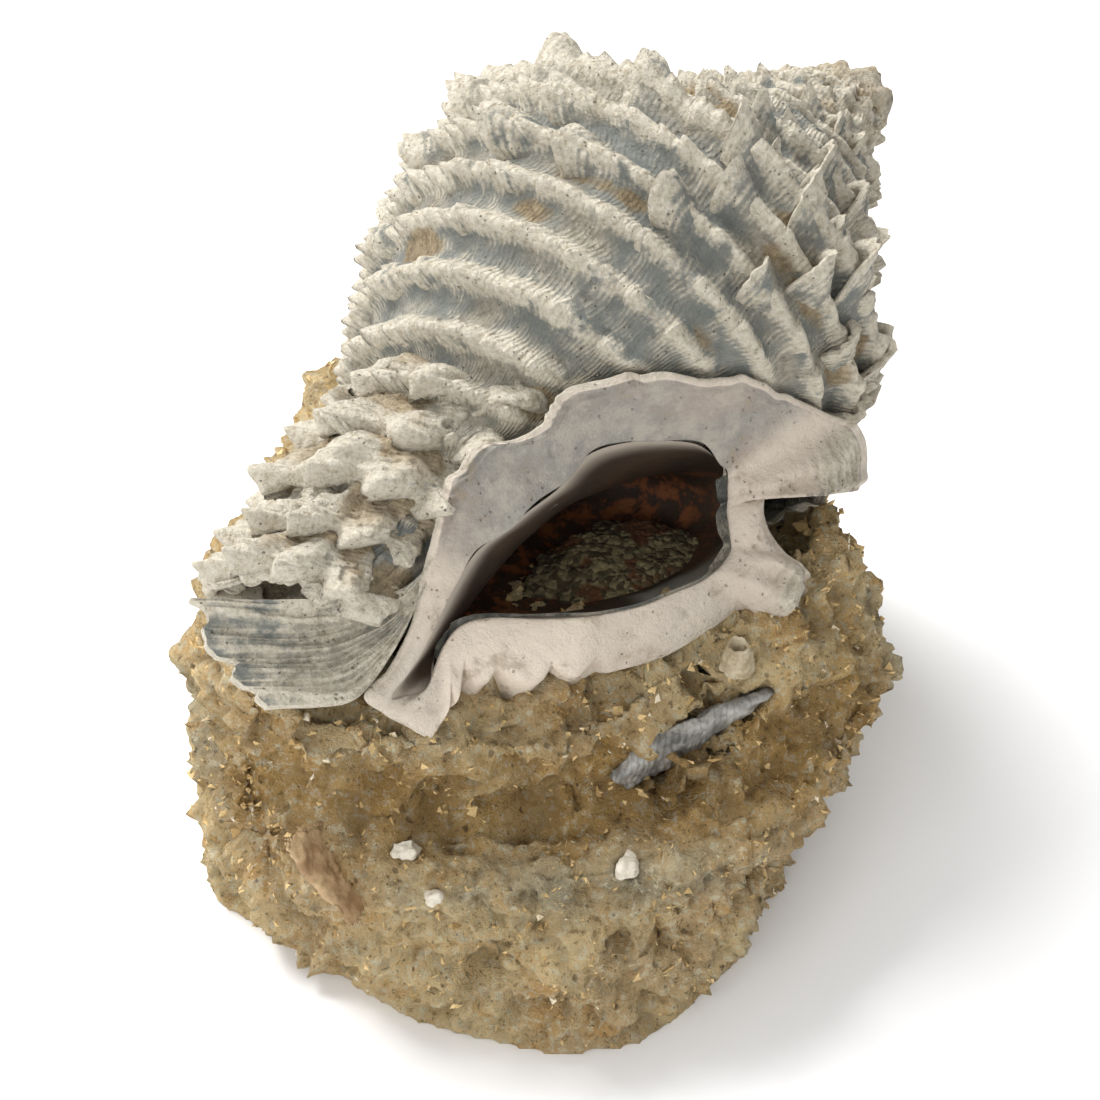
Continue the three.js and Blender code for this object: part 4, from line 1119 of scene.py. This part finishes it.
CRUMB_COUNT = 10000
dice = np.random.default_rng(23)
sky = np.nonzero((points[:, 2] > 1.5) & (normals[:, 2] > -0.5))[0]
chosen = dice.choice(sky, CRUMB_COUNT)
crumb_points, crumb_faces, crumb_tints = [], [], []
for number, spot in enumerate(chosen):
    ways = np.linalg.qr(dice.normal(size=(3, 3)))[0]
    long_side = 0.3 + 0.35 * dice.uniform() + 0.6 * dice.uniform() ** 12
    sides = np.array((long_side, long_side * dice.uniform(0.4, 0.9), long_side * dice.uniform(0.2, 0.6)))
    corners = np.concatenate([ways * sides[:, None], -ways * sides[:, None]]) * dice.uniform(0.6, 1.2, (6, 1))
    corners += dice.normal(size=(6, 3)) * 0.28 * long_side - normals[spot] * 0.6 * long_side
    crumb_points.append(points[spot] + corners)
    for i, j, k in ((0, 1, 2), (1, 3, 2), (3, 4, 2), (4, 0, 2), (1, 0, 5), (3, 1, 5), (4, 3, 5), (0, 4, 5)):
        crumb_faces.append((number * 6 + i, number * 6 + j, number * 6 + k))
    crumb_tints += [dice.uniform()] * 6
mesh = bpy.data.meshes.new("crumbs")
mesh.from_pydata((np.concatenate(crumb_points) * MM).tolist(), [], crumb_faces)
mesh.vertices.foreach_set("co", (np.maximum(np.concatenate(crumb_points), (-99, -99, 0)) * MM).reshape(-1))
paint(mesh, "tint", np.array(crumb_tints))
crumb_piece = new_piece("rock_crumbs", mesh)


def crumb_material():
    material, nodes, shader, where = new_material("crumbs of shell")
    tint = nodes.attribute("tint")
    cloud = nodes.noise(where, 900.0, 4.0)
    colour = nodes.mix(nodes.range(tint, 0.0, 0.7), srgb(186, 154, 100), srgb(226, 196, 140))
    colour = nodes.mix(nodes.range(tint, 0.93, 0.97), colour, srgb(240, 228, 200))
    colour = nodes.mix(nodes.range(cloud, 0.5, 0.7, 0.0, 0.5), colour, srgb(168, 146, 104))
    nodes.set(shader.inputs["Base Color"], colour)
    nodes.set(shader.inputs["Roughness"], 0.9)
    texture = use_group(nodes, grain, {"Where": where, "Scale": 1200.0})["Height"]
    nodes.set(
        shader.inputs["Normal"],
        nodes.add("ShaderNodeBump", {"Height": texture, "Strength": 0.8, "Distance": 0.0006}).outputs[0]
    )
    return material


mesh.materials.append(crumb_material())
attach(crumb_piece, "root")
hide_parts("matrix_block")


# ---------------------------------------------------------------------------------------------
# Loose grit in the back of the mouth: sand and crumbs of shell, greenish grey, never cemented.

grit = copy_of("aperture_sediment", "grit")
remesh(grit, 0.4 * MM)
points, normals = mesh_arrays(grit.data)
height = 0.9 * rough(points, 2.6, 3, 91) + 0.6 * rough(points, 1.1, 2, 92) - 0.6 * pits(points, 1.8, 93)
points += normals * height[:, None]
bottom = points[:, 2].min()
points[:, 2] = bottom + (points[:, 2] - bottom) * 0.46
grit.data.vertices.foreach_set("co", (points * MM).reshape(-1))


def grit_material():
    material, nodes, shader, where = new_material("greenish grit")
    crumbs = nodes.add("ShaderNodeTexVoronoi", {"Vector": where, "Scale": 1700.0})
    tint = nodes.add("ShaderNodeSeparateColor", {"Color": crumbs.outputs["Color"]}).outputs[1]
    colour = nodes.mix(nodes.range(tint, 0.2, 0.9), srgb(70, 60, 40), srgb(134, 124, 90))
    colour = nodes.mix(nodes.range(nodes.noise(where, 260.0), 0.52, 0.62), colour, srgb(96, 62, 36))
    nodes.set(shader.inputs["Base Color"], colour)
    nodes.set(shader.inputs["Roughness"], 0.95)
    bump = nodes.add(
        "ShaderNodeBump", {"Height": crumbs.outputs["Distance"], "Strength": 0.8, "Distance": 0.0003},
        invert=True
    )
    nodes.set(shader.inputs["Normal"], bump.outputs[0])
    return material


grit.data.materials.append(grit_material())
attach(grit, "root")
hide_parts("aperture_sediment")


# ---------------------------------------------------------------------------------------------
# Broken shell in the rock: a long sliver of mother of pearl, the edge of a thin tan shell and
# three white chips. All are thin, layered and chipped, and sit as deep as the rock broke.


def plain_material(name, light, dark, scale, roughness, layered=0.0):
    material, nodes, shader, where = new_material(name)
    cloud = nodes.noise(where, scale, 5.0, 0.65)
    nodes.set(shader.inputs["Base Color"], nodes.mix(nodes.range(cloud, 0.35, 0.65), dark, light))
    nodes.set(shader.inputs["Roughness"], roughness)
    texture = use_group(nodes, grain, {"Where": where, "Scale": 900.0})["Height"]
    sheets = nodes.add(
        "ShaderNodeTexWave", {"Vector": where, "Scale": 420.0, "Distortion": 6.0}
    ).outputs["Fac"]
    total = nodes.math("ADD", texture, nodes.math("MULTIPLY", sheets, layered))
    bump = nodes.add("ShaderNodeBump", {"Height": total, "Strength": 0.6, "Distance": 0.0005})
    nodes.set(shader.inputs["Normal"], bump.outputs[0])
    return material


def bedded_chip(node, name, material, chipping, seed):
    chip = copy_of(node, name)
    remesh(chip, 0.22 * MM)
    points, normals = mesh_arrays(chip.data)
    points += normals * (chipping * rough(points, 1.6, 3, seed))[:, None]
    chip.data.vertices.foreach_set("co", (points * MM).reshape(-1))
    chip.data.materials.append(material)
    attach(chip, "root")
    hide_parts(node)


pearl = plain_material("mother of pearl", srgb(168, 166, 160), srgb(96, 95, 90), 300.0, 0.35, 0.6)
tan = plain_material("tan shell", srgb(196, 168, 128), srgb(150, 118, 82), 300.0, 0.7)
white = plain_material("white shell", srgb(222, 214, 198), srgb(190, 180, 160), 500.0, 0.6)
bedded_chip("nacre_shard", "pearl_sliver", pearl, 0.3, 101)
bedded_chip("tan_shell_edge", "tan_edge", tan, 0.35, 102)
for number in (1, 2, 3):
    bedded_chip(f"white_chip_{number}", f"chip_{number}", white, 0.8, 102 + number)


# ---------------------------------------------------------------------------------------------
# A small acorn barnacle by the lip: six limy plates round an open top, fixed while it lived.

foot_low, foot_high = (np.array(corner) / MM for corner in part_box("barnacle"))
barnacle_centre = (foot_low + foot_high) / 2
barnacle_radius = (foot_high[0] - foot_low[0]) / 2
share, turn = np.meshgrid(np.linspace(0, 1, 40), np.linspace(0, 2 * np.pi, 90, endpoint=False), indexing="ij")
plates = ridge(6 * turn / (2 * np.pi)) ** 0.4
wide = np.interp(share, (0, 0.6, 0.75, 1), (1.0, 0.66, 0.5, 0.3)) * barnacle_radius * (0.9 + 0.1 * plates)
high = np.interp(share, (0, 0.6, 0.75, 1), (0, 1, 0.95, 0.5)) * (foot_high[2] - foot_low[2]) * 0.75
cup = np.stack(
    [wide * np.cos(turn), wide * np.sin(turn), high], axis=-1
) + (*barnacle_centre[:2], foot_low[2])
cup += 0.12 * rough(cup, 0.9, 2, 111)[..., None]
quads = [
    (r * 90 + c, r * 90 + (c + 1) % 90, (r + 1) * 90 + (c + 1) % 90, (r + 1) * 90 + c)
    for r in range(39)
    for c in range(90)
]
quads.append(tuple(range(39 * 90, 40 * 90)))
mesh = bpy.data.meshes.new("barnacle")
mesh.from_pydata((cup.reshape(-1, 3) * MM).tolist(), [], quads)
mesh.shade_smooth()
barnacle = new_piece("barnacle_plates", mesh)
mesh.materials.append(plain_material("barnacle plate", srgb(192, 180, 154), srgb(150, 134, 104), 600.0, 0.8))
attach(barnacle, "root")
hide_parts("barnacle")


# ---------------------------------------------------------------------------------------------
# The set: a flat white sheet of paper, one big soft lamp high behind on the left, a weaker one in
# front on the left and even light all round.

low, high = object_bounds()
middle = (low + high) / 2
bpy.ops.mesh.primitive_plane_add(size=6.0, location=(middle.x, middle.y, 0))
floor = bpy.context.object
floor.name = "paper_floor"
paper = bpy.data.materials.new("white paper")
paper.use_nodes = True
paper.node_tree.nodes["Principled BSDF"].inputs["Base Color"].default_value = srgb(248, 248, 248)
paper.node_tree.nodes["Principled BSDF"].inputs["Roughness"].default_value = 0.9
floor.data.materials.append(paper)
floor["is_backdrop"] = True


def soft_lamp(name, place, size, power):
    lamp = bpy.data.lights.new(name, "AREA")
    lamp.size = size
    lamp.energy = power
    holder = bpy.data.objects.new(name, lamp)
    holder.location = place
    holder.rotation_euler = (middle - Vector(place)).to_track_quat("-Z", "Y").to_euler()
    bpy.context.scene.collection.objects.link(holder)


soft_lamp("high soft lamp", (-0.42, 0.38, 0.8), 0.5, 13.0)
soft_lamp("fill lamp", (-0.3, -0.7, 0.5), 0.6, 3.2)
world = bpy.data.worlds.new("even light")
world.use_nodes = True
world.node_tree.nodes["Background"].inputs["Color"].default_value = (1, 1, 1, 1)
world.node_tree.nodes["Background"].inputs["Strength"].default_value = 0.64
bpy.context.scene.world = world
bpy.context.scene.view_settings.view_transform = "Standard"

VIEW_ELEVATION = math.radians(43)
VIEW_DISTANCE = 0.3
aim = Vector((block_low[0] + 0.0392, block_low[1] + 0.042, 0.035))
away = Vector((0, -math.cos(VIEW_ELEVATION), math.sin(VIEW_ELEVATION)))
camera = bpy.data.objects.new("camera", bpy.data.cameras.new("camera"))
camera.data.lens = 90
camera.location = aim + away * VIEW_DISTANCE
camera.rotation_euler = (-away).to_track_quat("-Z", "Y").to_euler()
bpy.context.scene.collection.objects.link(camera)
bpy.context.scene.camera = camera

size_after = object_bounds()
corners = {"before": size_before, "after": size_after}
{when: [list(corner) for corner in box] for when, box in corners.items()}
